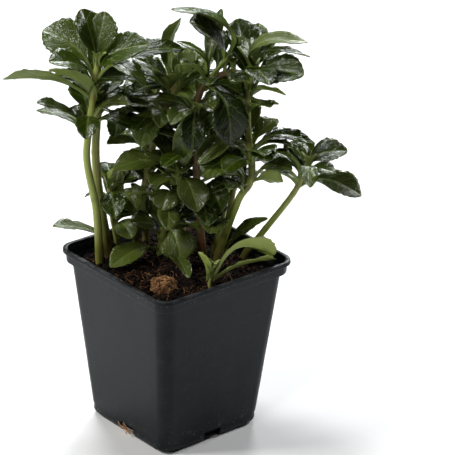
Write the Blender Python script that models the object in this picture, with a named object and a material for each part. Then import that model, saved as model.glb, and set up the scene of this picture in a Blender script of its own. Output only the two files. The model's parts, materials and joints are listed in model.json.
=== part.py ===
"""A Japanese spurge in a square nursery pot, in metres with +Z up.

The origin is the centre of the pot's underside. The pot's sides face the X and Y axes. Stems and leaves are
measured in millimetres in the plant's front frame: right, back and up as they look from its best side.
"""
import random
from dataclasses import dataclass
from itertools import product
from math import cos, pi, radians, sin

import bmesh
import bpy
from mathutils import Matrix, Quaternion, Vector
from mathutils.bvhtree import BVHTree

MM = 0.001
GAP = 0.3 * MM
UP = Vector((0, 0, 1))

# Pot: half widths of the square, corner radii and heights
POT_HEIGHT = 97.5 * MM
RIM_HALF = 45.0 * MM
BAND_HALF = 43.6 * MM
SHOULDER_HALF = 41.4 * MM
HEEL_HALF = 33.0 * MM
FOOT_HALF = 31.3 * MM
RIM_HEIGHT = 7.4 * MM
LIP_HEIGHT = 2.4 * MM
HEEL_HEIGHT = 8.0 * MM
WALL = 1.0 * MM
FLOOR = 1.2 * MM
RIM_CORNER = 8.3 * MM
FOOT_CORNER = 6.5 * MM
CORNER_STEPS = 4
SLOT_WIDTH = 11.0 * MM
SLOT_HEIGHT = 5.5 * MM
SLOT_INTO_FLOOR = 3.0 * MM
NOTCH_WIDTH = 13.0 * MM
NOTCH_HEIGHT = 1.9 * MM

# Soil and the tuft of coir on it
SOIL_TOP = 90.0 * MM
SOIL_RELIEF = 0.9 * MM
SOIL_RINGS = 5
TUFT_PLACE = (-6, -27)
TUFT_SIZE = (7.4 * MM, 8.2 * MM, 7.0 * MM)
TUFT_SIDES = 14
TUFT_ROWS = 5
TUFT_SEAT_DEPTH = 1.3 * MM

# Stems and leaves
STEM_SIDES = 6
STEM_STEPS = 2
STEM_ROOT_DEPTH = 18.0 * MM
STEM_TIP = 2.0 * MM
FRONT_TURN = radians(-40.4)
PETIOLE_SHARE = 0.17
PETIOLE_HALF = 0.85 * MM
FREE_SHARE = 0.38
BLADE_EDGE = 0.65 * MM
RIB_DEPTHS = ((0.0, 1.7), (0.17, 1.6), (0.45, 1.15), (0.8, 0.9), (1.0, 0.7))
BLADE_SWELL = 1.4
BOW_START = 5.0
BOW_EASE = 2.4
BLADE_FULLNESS = 0.72
TOOTH_REACH = 1.04
NOTCH_REACH = 0.95
BROAD_EDGE = ((0.22, 1.0), (0.48, TOOTH_REACH), (0.55, NOTCH_REACH), (0.7, TOOTH_REACH), (0.77, NOTCH_REACH),
              (0.88, TOOTH_REACH))
NARROW_EDGE = ((0.24, 1.0), (0.55, TOOTH_REACH), (0.62, NOTCH_REACH), (0.84, TOOTH_REACH))
NARROW_HALF = 7.6 * MM
RIB_STATIONS = (0.45,)
CHANNEL = 0.22
WAVE = 0.10
WHORL_STEP = 1.5 * MM
ROOT_OFFSET = 0.5
CLEARANCE = 0.35 * MM
LISTED_TRIES = ((False, 6, 1.0), (True, 6, 1.0), (False, 12, 1.0), (True, 24, 1.0), (True, 24, 0.8))
RULE_TRIES = ((False, 60, 1.0), (False, 60, 0.8), (True, 60, 1.0))
SEED = 11


@dataclass
class Leaf:
    """One leaf: the height of its root on the stem, its tip, its width, its arch and the turn of its face."""
    root: float
    tip: tuple
    width: float
    arch: float
    face: float
    fold: float = CHANNEL


@dataclass
class Fill:
    """Leaves set round a stem by rule, between two headings, where 0 is right and 90 is back."""
    count: int
    start: float
    end: float
    root: float
    length: float
    rise: float = 25
    width: float = 14


@dataclass
class Shoot:
    """A leafy stem: the points that it passes, its radius at the foot and the top, and its leaves."""
    name: str
    stem: tuple
    thick: tuple
    leaves: tuple = ()
    fills: tuple = ()


SHOOTS = (
    Shoot("shoot_front_left",
          stem=((-40.5, 1, 90), (-42, -2, 121.5), (-47, -3, 150.5), (-45.5, -2, 171.5), (-42, -2, 202.5)),
          thick=(2.4, 1.7),
          leaves=(Leaf(201.5, (-50.5, 8, 230), 18, 0.1, 0), Leaf(201.5, (-38.5, 8, 229), 20, 0.08, 0),
                  Leaf(199.5, (-70.5, 14, 216), 22, 0.16, 35), Leaf(195.5, (-65.5, -18, 211), 16, 0.2, 25),
                  Leaf(191.5, (-90.5, -2, 194.5), 15, 0.13, -40), Leaf(197.5, (-14.5, -6, 217), 18, 0.24, 35),
                  Leaf(197.5, (3, 8, 209.5), 14, 0.14, 15), Leaf(197.5, (-17, -16, 201.5), 14, 0.34, 0),
                  Leaf(173.5, (-66.5, -6, 202), 15, 0.3, -40), Leaf(172.5, (-72.5, -8, 184.5), 15, 0.1, 0),
                  Leaf(172.5, (-74, 8, 173.5), 8, 0.1, 0), Leaf(180.5, (-46.5, -24, 171.5), 12, 0.3, 5),
                  Leaf(172.5, (-17, -3, 197), 15, 0.42, 10), Leaf(172.5, (-25, -16, 188), 13, 0.2, 10)),
          fills=(Fill(3, 40, 150, 191.5, 34, 10), Fill(2, 50, 140, 172.5, 30, 15))),
    Shoot("shoot_left_inner",
          stem=((-36, 10, 90), (-40.5, 7, 122), (-43, 6, 151), (-41.5, 6, 177)),
          thick=(3.0, 2.0),
          leaves=(Leaf(177, (-33, 2, 162), 14, 0.35, 30),),
          fills=(Fill(3, 10, 120, 174, 32, 10),)),
    Shoot("shoot_left_low",
          stem=((-31.5, 18.5, 90), (-35, 14, 114.5), (-36, 14, 127.5)),
          thick=(1.6, 1.3),
          leaves=(Leaf(115, (-32, 18, 137), 14, 0.1, 0), Leaf(127.5, (-32, -11, 122), 14, 0.18, 10),
                  Leaf(127.5, (-20.5, 1, 120.5), 15, 0.22, 25), Leaf(127.5, (-49.5, 18, 120.5), 8, 0.2, 0),
                  Leaf(99, (-65.5, 4, 109.5), 14, 0.1, 0),
                  Leaf(112.5, (-23.5, -2, 106), 13, 0.25, 20),
                  Leaf(127.5, (-20, 18, 133), 14, 0.12, 0), Leaf(109, (-23, 16, 112.5), 14, 0.2, 0)),
          fills=(Fill(1, 20, 100, 112.5, 26, 10, 10),)),
    Shoot("shoot_middle_back",
          stem=((-22.5, 19, 90), (-19.5, 14, 112), (-17, 16, 133), (-9.5, 14, 167.5), (-1.5, 12, 187.5)),
          thick=(2.0, 1.6),
          leaves=(Leaf(185.5, (6, 4, 224.5), 11, 0.22, 0), Leaf(183.5, (6.5, 24, 203.5), 19, 0.16, 0),
                  Leaf(183.5, (-18, -3, 200), 13, 0.2, 15), Leaf(183.5, (-14, 26, 192), 9, 0.14, 0),
                  Leaf(183.5, (19.5, 14, 196), 9, 0.14, 0), Leaf(174.5, (-29, -4, 183), 13, 0.16, 10),
                  Leaf(173.5, (-19, -6, 160), 14, 0.28, 30), Leaf(171.5, (-9, -8, 172), 11, 0.3, 10),
                  Leaf(131, (-24.5, 12, 127), 12, 0.2, 10),
                  Leaf(143, (-3.5, 22, 133), 15, 0.2, 0)),
          fills=(Fill(2, 60, 170, 183.5, 32, 0), Fill(2, 60, 200, 163.5, 30, 10))),
    Shoot("shoot_center_front",
          stem=((-9, 13, 90), (-6, 6, 111), (-1.5, 4, 130), (0.5, 2, 143)),
          thick=(2.2, 1.8),
          leaves=(Leaf(143, (-33.5, -6, 147.5), 15.5, 0.18, 20), Leaf(143, (-18.5, 6, 160.5), 18, 0.12, 0),
                  Leaf(143, (11, -22, 131.5), 17, 0.24, 5), Leaf(141, (-11.5, 8, 117), 16, 0.3, 40),
                  Leaf(141, (-27, 16, 150.5), 11, 0.12, 0), Leaf(139, (-7.5, -10, 126), 14, 0.3, 15),
                  Leaf(101.5, (-25.5, 4, 114), 16, 0.2, 20), Leaf(111, (2.5, -9, 97), 19, 0.25, 30),
                  Leaf(99, (7, -24, 94.5), 11, 0.12, -20), Leaf(99, (-34.5, -10, 93), 14, 0.14, 20),
                  Leaf(141, (9.5, 14, 139), 13, 0.15, 0)),
          fills=(Fill(2, 40, 110, 141, 28, 10),)),
    Shoot("shoot_brown",
          stem=((15, 5, 90), (13.5, -1, 100), (9.5, 1, 147), (9, 4, 176), (13.5, 6, 191.5), (26, 6, 198)),
          thick=(2.4, 1.7),
          leaves=(Leaf(193.5, (-5, 8, 231), 17, 0.54, -15), Leaf(199, (5, -8, 230.5), 20, 0.18, 35),
                  Leaf(194.5, (-4, 12, 210.5), 6, 0.35, 0), Leaf(197, (21, 20, 227.5), 9, 0.14, 0),
                  Leaf(198, (28, 4, 206), 6, 0.05, 0), Leaf(198, (27, -12, 164.5), 19, 0.32, 25),
                  Leaf(182.5, (3.5, -8, 150.5), 11, 0.25, 25), Leaf(180.5, (7.5, -16, 162), 13, 0.3, 15),
                  Leaf(191.5, (32.5, -4, 189.5), 14, 0.2, 15), Leaf(139, (23.5, -14, 128.5), 14, 0.3, 20),
                  Leaf(150, (25, 6, 136), 14, 0.25, 10)),
          fills=(Fill(2, 0, 60, 193.5, 32, 0), Fill(1, 80, 130, 173, 30, 10))),
    Shoot("shoot_right_mid",
          stem=((21, 5.5, 90), (31.5, -3, 129), (38.5, -3, 143.5), (36, 2, 167.5), (35.5, 4, 185),
                (37.5, 4, 198)),
          thick=(2.4, 1.6),
          leaves=(Leaf(194, (26.5, 20, 222.5), 19, 0.12, 0), Leaf(194, (40.5, 26, 219), 13, 0.12, 0),
                  Leaf(194, (65.5, -2, 218.5), 12, 0.4, 15), Leaf(194, (67, -8, 213), 7, 0.36, 0),
                  Leaf(192, (63.5, -14, 205.5), 20, 0.2, 35), Leaf(196, (45.5, -26, 204.5), 16, 0.3, 5),
                  Leaf(190, (55, -6, 191), 9, 0.1, -30), Leaf(188, (51.5, 0, 183.5), 12, -0.08, -20),
                  Leaf(163.5, (33.5, 14, 183.5), 16, 0.1, 0), Leaf(163.5, (51, 13, 170), 13, 0.12, 0),
                  Leaf(163.5, (71, -4, 163.5), 9, 0.22, 15), Leaf(161.5, (48, -20, 160.5), 15, 0.2, 15),
                  Leaf(161.5, (10.5, -12, 154), 16, 0.2, 15), Leaf(152.5, (14, -18, 148), 18, 0.22, 20),
                  Leaf(144.5, (55, -6, 142.5), 14, 0.12, -55),
                  Leaf(161.5, (59.5, 6, 157.5), 11, 0.2, 0), Leaf(149.5, (60, -12, 149.5), 13, 0.2, 10),
                  Leaf(103, (49.5, 8, 112.5), 13, 0.1, 0)),
          fills=(Fill(3, 30, 130, 192, 32, 15), Fill(2, 50, 140, 161.5, 30, 10))),
    Shoot("shoot_inner",
          stem=((19, 13, 90), (25.5, 9, 127), (23, 14, 146), (18.5, 18, 160)),
          thick=(1.8, 1.5),
          fills=(Fill(4, 20, 200, 158, 30, 10), Fill(2, 150, 250, 114.5, 26, 0))),
    Shoot("shoot_right",
          stem=((35, 11, 90), (43.5, 4, 106.5), (60, 0, 132.5), (66.5, 0, 147)),
          thick=(2.0, 1.5),
          leaves=(Leaf(146.5, (68.5, -22, 146.5), 9.5, 0.3, 0), Leaf(146.5, (88, 4, 156.5), 16, 0.24, 25),
                  Leaf(146.5, (63.5, 14, 160), 14, 0.12, 0), Leaf(146.5, (56.5, 8, 159.5), 11, 0.16, 0),
                  Leaf(146.5, (82, -7, 148.5), 12, 0.25, 10), Leaf(145.5, (96, -4, 134.5), 15.5, 0.19, 30),
                  Leaf(146.5, (48.5, -2, 156.5), 12, 0.14, -10), Leaf(141, (47, -8, 147.5), 9, 0.12, -10)),
          fills=(Fill(2, 80, 160, 142, 28, -5),)),
    Shoot("shoot_front_low",
          stem=((18.5, -30, 90), (18, -30, 94), (18.5, -29.5, 97.5)),
          thick=(1.2, 1.1),
          leaves=(Leaf(96, (12, -30, 112.5), 8, 0.1, -20, 0.6), Leaf(97.5, (51.5, -8, 101.5), 20, 0.35, -40),
                  Leaf(99.5, (52.5, -6, 98), 12, 0.1, -30))),
    Shoot("shoot_back_left",
          stem=((-17, 29, 90), (-17, 28, 124), (-15.5, 30, 154), (-14.5, 30, 168)),
          thick=(2.0, 1.6),
          fills=(Fill(5, 20, 250, 166, 32, 15), Fill(2, 40, 130, 126, 28, 10))),
    Shoot("shoot_back_middle",
          stem=((2, 36, 90), (2.5, 35, 125), (3, 36, 155), (3.5, 36, 171)),
          thick=(2.2, 1.6),
          fills=(Fill(6, 0, 300, 169, 34, 18), Fill(3, 30, 150, 130, 32, 10))),
    Shoot("shoot_back_right",
          stem=((24, 22, 90), (28.5, 25, 120), (34, 28, 145), (37, 28, 157.5)),
          thick=(2.0, 1.6),
          fills=(Fill(5, 50, 270, 155.5, 30, 12), Fill(2, 30, 110, 123, 28, 5))),
)


def front(right, back, up):
    """A place of the front frame, in millimetres, as a point of the pot's frame in metres."""
    return Matrix.Rotation(FRONT_TURN, 3, "Z") @ Vector((right, back, up)) * MM


VIEWER = front(0, -1, 0).normalized()


def clear_scene():
    for obj in list(bpy.data.objects):
        bpy.data.objects.remove(obj, do_unlink=True)


def material(name, colour, roughness):
    mat = bpy.data.materials.new(name)
    mat.use_nodes = True
    shader = mat.node_tree.nodes["Principled BSDF"]
    shader.inputs["Base Color"].default_value = (*colour, 1)
    shader.inputs["Roughness"].default_value = roughness
    return mat


def add_object(name, verts, faces, mat):
    mesh = bpy.data.meshes.new(name)
    mesh.from_pydata([tuple(v) for v in verts], [], faces)
    bm = bmesh.new()
    bm.from_mesh(mesh)
    bmesh.ops.recalc_face_normals(bm, faces=bm.faces)
    bm.to_mesh(mesh)
    bm.free()
    mesh.materials.append(mat)
    obj = bpy.data.objects.new(name, mesh)
    bpy.context.scene.collection.objects.link(obj)
    return obj


def apply_boolean(obj, operation, others):
    """Join or cut an object with a collection of others, keep the largest closed body, drop the others."""
    group = bpy.data.collections.new(obj.name + "_parts")
    bpy.context.scene.collection.children.link(group)
    for other in others:
        group.objects.link(other)
    boolean = obj.modifiers.new("boolean", "BOOLEAN")
    boolean.operation = operation
    boolean.solver = "EXACT"
    boolean.operand_type = "COLLECTION"
    boolean.collection = group
    evaluated = obj.evaluated_get(bpy.context.evaluated_depsgraph_get())
    mesh = bpy.data.meshes.new_from_object(evaluated)
    obj.modifiers.clear()
    obj.data = mesh
    for other in others:
        bpy.data.objects.remove(other, do_unlink=True)
    bpy.data.collections.remove(group)
    keep_largest_body(obj)


def keep_largest_body(obj):
    """Fill sealed hollows and drop loose scraps: only the body that holds the most volume stays."""
    bm = bmesh.new()
    bm.from_mesh(obj.data)
    bmesh.ops.remove_doubles(bm, verts=bm.verts, dist=0.001 * MM)
    bmesh.ops.triangulate(bm, faces=bm.faces)
    waiting = set(bm.faces)
    bodies = []
    while waiting:
        body = [waiting.pop()]
        for face in body:
            for edge in face.edges:
                for other in edge.link_faces:
                    if other in waiting:
                        waiting.remove(other)
                        body.append(other)
        volume = sum(f.verts[0].co.dot(f.verts[1].co.cross(f.verts[2].co)) for f in body)
        bodies.append((volume, body))
    bodies.sort(key=lambda item: item[0])
    for volume, body in bodies[:-1]:
        bmesh.ops.delete(bm, geom=body, context="FACES")
    bmesh.ops.delete(bm, geom=[v for v in bm.verts if not v.link_faces], context="VERTS")
    bm.to_mesh(obj.data)
    bm.free()


def square_ring(half, corner, height):
    """Points of a square with rounded corners, anticlockwise."""
    points = []
    for turn in range(4):
        sx, sy = ((1, 1), (-1, 1), (-1, -1), (1, -1))[turn]
        for step in range(CORNER_STEPS + 1):
            angle = (turn + step / CORNER_STEPS) * pi / 2
            points.append(Vector((sx * (half - corner) + corner * cos(angle),
                                  sy * (half - corner) + corner * sin(angle), height)))
    return points


def bridge(rings, cap_start=True, cap_end=True):
    """Faces that join rings of the same length, with a face over each end."""
    verts = [point for ring in rings for point in ring]
    count = len(rings[0])
    faces = []
    for level in range(len(rings) - 1):
        for k in range(count):
            a, b = level * count + k, level * count + (k + 1) % count
            faces.append((a, b, b + count, a + count))
    if cap_start:
        faces.append(tuple(reversed(range(count))))
    if cap_end:
        faces.append(tuple(range((len(rings) - 1) * count, len(rings) * count)))
    return verts, faces


def box(name, centre, size, turn=0.0):
    """A cutter: a box turned about Z."""
    verts = [Matrix.Rotation(turn, 3, "Z") @ Vector((x * size[0], y * size[1], z * size[2])) + Vector(centre)
             for x, y, z in product((-0.5, 0.5), repeat=3)]
    faces = [(0, 1, 3, 2), (4, 6, 7, 5), (0, 4, 5, 1), (2, 3, 7, 6), (0, 2, 6, 4), (1, 5, 7, 3)]
    return add_object(name, verts, faces, material(name, (0.5, 0.5, 0.5), 0.5))


def body_half(height):
    """Half width of the pot's outside between its heel and its shoulder."""
    share = (height - HEEL_HEIGHT) / (POT_HEIGHT - RIM_HEIGHT - HEEL_HEIGHT)
    return HEEL_HALF + (SHOULDER_HALF - HEEL_HALF) * share


def corner_at(height):
    """Corner radius of the pot's outside, which grows from the foot to the rim."""
    return FOOT_CORNER + (RIM_CORNER - FOOT_CORNER) * height / POT_HEIGHT


def make_pot():
    under_rim = POT_HEIGHT - RIM_HEIGHT
    lip = POT_HEIGHT - LIP_HEIGHT
    curl = 0.5 * (FOOT_HALF + HEEL_HALF) + 0.5 * MM
    outside = [(FOOT_HALF - 1.2 * MM, 0.0), (FOOT_HALF, 0.6 * MM), (curl, 3.5 * MM), (HEEL_HALF, HEEL_HEIGHT),
               (SHOULDER_HALF, under_rim - 0.3 * MM), (BAND_HALF - 0.4 * MM, under_rim),
               (BAND_HALF, under_rim + 0.5 * MM), (BAND_HALF + 0.2 * MM, lip), (RIM_HALF, lip + 0.3 * MM),
               (RIM_HALF, POT_HEIGHT - 0.5 * MM), (RIM_HALF - 0.5 * MM, POT_HEIGHT)]
    inside = [(BAND_HALF - 0.4 * MM, POT_HEIGHT), (BAND_HALF - WALL, lip),
              (BAND_HALF - WALL - 0.2 * MM, under_rim + WALL), (SHOULDER_HALF - WALL, under_rim + 0.4 * MM),
              (HEEL_HALF - WALL, HEEL_HEIGHT), (FOOT_HALF - WALL, FLOOR + 1.5 * MM),
              (FOOT_HALF - 2.2 * MM, FLOOR)]
    rings = [square_ring(half, corner_at(z), z) for half, z in outside]
    rings += [square_ring(half, corner_at(z) - WALL, z) for half, z in inside]
    verts, faces = bridge(rings)
    pot = add_object("pot", verts, faces, material("black_plastic", (0.035, 0.04, 0.043), 0.45))
    cutters = []
    reach = 2 * SLOT_INTO_FLOOR + 2 * MM
    for side in range(4):
        out = Vector((cos(side * pi / 2), sin(side * pi / 2), 0))
        cutters.append(box(f"slot_{side}", out * FOOT_HALF + UP * (SLOT_HEIGHT / 2 - MM),
                           (reach, SLOT_WIDTH, SLOT_HEIGHT + 2 * MM), side * pi / 2))
        diagonal = (side + 0.5) * pi / 2
        corner = Vector((cos(diagonal), sin(diagonal), 0)) * (FOOT_HALF * 2 ** 0.5 - FOOT_CORNER * 0.414)
        cutters.append(box(f"notch_{side}", corner + UP * (NOTCH_HEIGHT / 2 - MM),
                           (reach, NOTCH_WIDTH, NOTCH_HEIGHT + 2 * MM), diagonal))
    apply_boolean(pot, "DIFFERENCE", cutters)
    return pot


def soil_height(x, y):
    """Crumbly soil: a few crossing waves."""
    px, py = x / MM, y / MM
    waves = sin(0.31 * px + 0.23 * py) + sin(0.41 * py - 0.17 * px + 1.3)
    waves += 0.7 * sin(0.83 * px + 2.1) * sin(0.71 * py)
    return SOIL_TOP + SOIL_RELIEF * waves / 2


def tuft_ring(row, height, grow=0.0):
    """A lumpy ring of the tuft of coir, which shrinks row by row as on a dome."""
    centre = front(*TUFT_PLACE, 0)
    angle = row / TUFT_ROWS * pi / 2
    ring = []
    for k in range(TUFT_SIDES):
        turn = 2 * pi * k / TUFT_SIDES
        lump = 1 + 0.08 * sin(3 * turn + row) + 0.06 * sin(5 * turn + 2 * row)
        x = (TUFT_SIZE[0] * cos(angle) * lump + grow) * cos(turn)
        y = (TUFT_SIZE[1] * cos(angle) * lump + grow) * sin(turn)
        ring.append(centre + Vector((x, y, height * (2 - lump if row else 1))))
    return ring


def make_soil():
    levels = [(FOOT_HALF - 2.4 * MM, FLOOR + GAP), (HEEL_HALF - WALL - GAP, HEEL_HEIGHT + GAP),
              (body_half(SOIL_TOP) - WALL - 1.5 * GAP, SOIL_TOP)]
    rings = [square_ring(half, corner_at(z) - WALL, z) for half, z in levels]
    edge = rings.pop()
    for ring in range(SOIL_RINGS):
        places = [(p.x * (1 - ring / SOIL_RINGS), p.y * (1 - ring / SOIL_RINGS)) for p in edge]
        rings.append([Vector((x, y, soil_height(x, y))) for x, y in places])
    verts, faces = bridge(rings, cap_end=False)
    verts.append(Vector((0, 0, soil_height(0, 0))))
    first, count = len(verts) - 1 - len(edge), len(edge)
    faces += [(first + k, first + (k + 1) % count, len(verts) - 1) for k in range(count)]
    soil = add_object("soil", verts, faces, material("soil", (0.045, 0.022, 0.014), 0.95))
    cutter = material("cutter", (0.5, 0.5, 0.5), 0.5)
    above = SOIL_TOP + 6 * MM
    seat = [tuft_ring(0, height, 2 * GAP) for height in (SOIL_TOP - TUFT_SEAT_DEPTH, above)]
    holes = [add_object("tuft_seat", *bridge(seat), cutter)]
    for shoot in SHOOTS:
        foot = front(*shoot.stem[0])
        radius = (shoot.thick[0] * MM + GAP) / cos(pi / STEM_SIDES)
        rings = []
        turns = [2 * pi * k / STEM_SIDES for k in range(STEM_SIDES)]
        places = [(foot.x + radius * cos(t), foot.y + radius * sin(t)) for t in turns]
        for height in (SOIL_TOP - STEM_ROOT_DEPTH - GAP, above):
            rings.append([Vector((x, y, height)) for x, y in places])
        holes.append(add_object(shoot.name + "_hole", *bridge(rings), cutter))
    apply_boolean(soil, "DIFFERENCE", holes)
    return soil


def make_tuft():
    """The tuft of coarse coir: a low lumpy dome whose flat underside lies in its seat in the soil."""
    bottom = UP * (SOIL_TOP - TUFT_SEAT_DEPTH + GAP)
    rings = []
    for row in range(TUFT_ROWS):
        rise = TUFT_SIZE[2] * sin(row / TUFT_ROWS * pi / 2)
        rings.append([point + bottom for point in tuft_ring(row, rise)])
    verts, faces = bridge(rings)
    return add_object("coir_tuft", verts, faces, material("coir", (0.27, 0.13, 0.045), 0.9))


def stem_path(shoot):
    """Smooth points along a stem, from its root in the soil to its tip."""
    points = [front(*p) for p in shoot.stem]
    points.insert(0, points[0] - UP * STEM_ROOT_DEPTH)
    path = []
    for k in range(1, len(points) - 1):
        before, a, b = points[k - 1], points[k], points[k + 1]
        after = points[min(k + 2, len(points) - 1)]
        for step in range(STEM_STEPS):
            t = step / STEM_STEPS
            path.append(0.5 * (2 * a + (b - before) * t + (2 * before - 5 * a + 4 * b - after) * t * t
                               + (3 * a - before - 3 * b + after) * t ** 3))
    end = (points[-1] - points[-2]).normalized()
    return [points[0]] + path + [points[-1], points[-1] + end * STEM_TIP]


def stem_point(path, height):
    """The place on a stem at a height."""
    for a, b in zip(path, path[1:]):
        if a.z <= height <= b.z:
            return a.lerp(b, (height - a.z) / max(b.z - a.z, 1e-9))
    return path[-1].copy()


def stem_body(shoot, path, extra=0.0):
    """A tapered tube along the stem's path, whose rings keep level with the path."""
    side = Vector((1, 0, 0))
    rings = []
    for k, point in enumerate(path):
        along = (path[min(k + 1, len(path) - 1)] - path[max(k - 1, 0)]).normalized()
        side = (side - along * side.dot(along)).normalized()
        other = along.cross(side)
        share = k / (len(path) - 1)
        radius = (shoot.thick[0] + (shoot.thick[1] - shoot.thick[0]) * share) * MM + extra
        if k == len(path) - 1:
            radius *= 0.55
        turns = [2 * pi * j / STEM_SIDES for j in range(STEM_SIDES)]
        rings.append([point + (side * cos(t) + other * sin(t)) * radius for t in turns])
    return bridge(rings)


def half_width(share):
    """Half width of a blade, of 1 at its widest, at a share of its length from its base to its tip."""
    return sin(pi * share ** BLADE_SWELL) ** BLADE_FULLNESS if 0 < share < 1 else 0.0


def rib_depth(u):
    """Thickness under the midrib at a share of the leaf's length."""
    for (a, low), (b, high) in zip(RIB_DEPTHS, RIB_DEPTHS[1:]):
        if u <= b:
            return (low + (high - low) * (u - a) / (b - a)) * MM
    return RIB_DEPTHS[-1][1] * MM


class Blade:
    """The surface of one leaf, from its root on the stem (u = 0) to its tip (u = 1), v from edge to edge."""

    def __init__(self, root, tip, width, arch, face, fold):
        chord = tip - root
        self.root, self.chord, self.length, self.fold = root, chord, chord.length, fold
        self.half = width * MM / 2
        ahead = chord.normalized()
        side = ahead.cross(UP).normalized()
        self.bulge = side.cross(ahead) * arch * self.length
        normal = side.cross(ahead)
        sense = 1 if ahead.cross(normal).dot(VIEWER) > 0 else -1
        self.side = ahead.cross(Quaternion(ahead, sense * radians(face)) @ normal)

    def point(self, u, across, extra=0.0):
        """A point of the upper face at a distance across from the midrib, and the upward normal there."""
        bow = u * (1 - u) * (BOW_START - BOW_EASE * u)
        slope = (1 - 2 * u) * (BOW_START - BOW_EASE * u) - BOW_EASE * u * (1 - u)
        rib = self.root + self.chord * u + self.bulge * bow
        along = (self.chord + self.bulge * slope).normalized()
        side = (self.side - along * self.side.dot(along)).normalized()
        normal = side.cross(along)
        share = max(0.0, (u - PETIOLE_SHARE) / (1 - PETIOLE_SHARE))
        wave = WAVE * sin(9 * share + (1 if across > 0 else 2)) * share
        lift = (self.fold + wave) * abs(across)
        return rib + side * across + normal * (lift + extra), normal


def strips(edge, rib):
    """Triangles between an edge and a midrib, each a list of (share, index), that end in one tip.

    Along a stretch of midrib the edge's points go to its nearer end, so that no triangle is a sliver.
    """
    triangles = []
    i = j = 0
    while i < len(edge) - 1 or j < len(rib) - 1:
        reach = (rib[j][0] + rib[j + 1][0]) / 2 if j < len(rib) - 2 else edge[-2][0]
        if i < len(edge) - 1 and (j == len(rib) - 1 or edge[i + 1][0] <= reach):
            if edge[i + 1][1] != rib[j][1]:
                triangles.append((edge[i][1], edge[i + 1][1], rib[j][1]))
            i += 1
        else:
            if rib[j + 1][1] != edge[i][1]:
                triangles.append((edge[i][1], rib[j + 1][1], rib[j][1]))
            j += 1
    return triangles


def to_u(share):
    """The share of a whole leaf, petiole and blade, at a share of its blade."""
    return PETIOLE_SHARE + share * (1 - PETIOLE_SHARE)


def leaf_body(blade, grow=0.0, start=0.0):
    """A thin solid leaf with a toothed edge, grown all round, whole or from a share of its length on."""
    foot = [start] if start else [0.0, PETIOLE_SHARE]
    stations = NARROW_EDGE if blade.half < NARROW_HALF else BROAD_EDGE
    edge = [(u, PETIOLE_HALF) for u in foot]
    edge += [(to_u(s), max(PETIOLE_HALF, blade.half * half_width(s) * reach))
             for s, reach in stations if to_u(s) > foot[-1]]
    rib = foot + [to_u(s) for s in RIB_STATIONS if to_u(s) > foot[-1]]
    places = [[], []]

    def add(u, across, depth):
        top, normal = blade.point(u, across, grow)
        places[0].append(top)
        places[1].append(top - normal * (depth + 2 * grow))
        return len(places[0]) - 1

    right = [(u, add(u, reach + grow, BLADE_EDGE)) for u, reach in edge]
    left = [(u, add(u, -reach - grow, BLADE_EDGE)) for u, reach in edge]
    middle = [(u, add(u, 0.0, rib_depth(u))) for u in rib]
    tip = (1.0, add(1.0, 0.0, BLADE_EDGE))
    count = len(places[0])
    right.append(tip)
    left.append(tip)
    middle.append(tip)
    faces = [(a, b, c) for a, b, c in strips(right, middle)]
    faces += [(c, b, a) for a, b, c in strips(left, middle)]
    faces += [tuple(count + k for k in reversed(face)) for face in faces]
    for a, b in zip(right, right[1:]):
        faces += [(b[1], a[1], count + a[1]), (b[1], count + a[1], count + b[1])]
    for a, b in zip(left, left[1:]):
        faces += [(a[1], b[1], count + b[1]), (a[1], count + b[1], count + a[1])]
    r, m, l = right[0][1], middle[0][1], left[0][1]
    faces += [(r, m, count + m), (r, count + m, count + r), (m, l, count + l), (m, count + l, count + m)]
    return places[0] + places[1], faces


def bend_steps(limit):
    """Turns and lifts, in degrees, that a leaf may bend by to get clear, the smallest first."""
    steps = [(abs(turn) + abs(lift), turn, lift) for turn in range(-36, 37, 6) for lift in range(-24, 31, 6)]
    return [(turn, lift) for bend, turn, lift in sorted(steps) if bend <= limit]


def bent(root, tip, turn, lift):
    """A leaf's tip after it is turned about its root and lifted."""
    chord = Matrix.Rotation(radians(turn), 3, "Z") @ (tip - root)
    side = chord.cross(UP).normalized()
    return root + Quaternion(side, radians(lift)) @ chord


def solid_tree(obj):
    verts = [v.co.copy() for v in obj.data.vertices]
    return BVHTree.FromPolygons(verts, [tuple(p.vertices) for p in obj.data.polygons])


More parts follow.
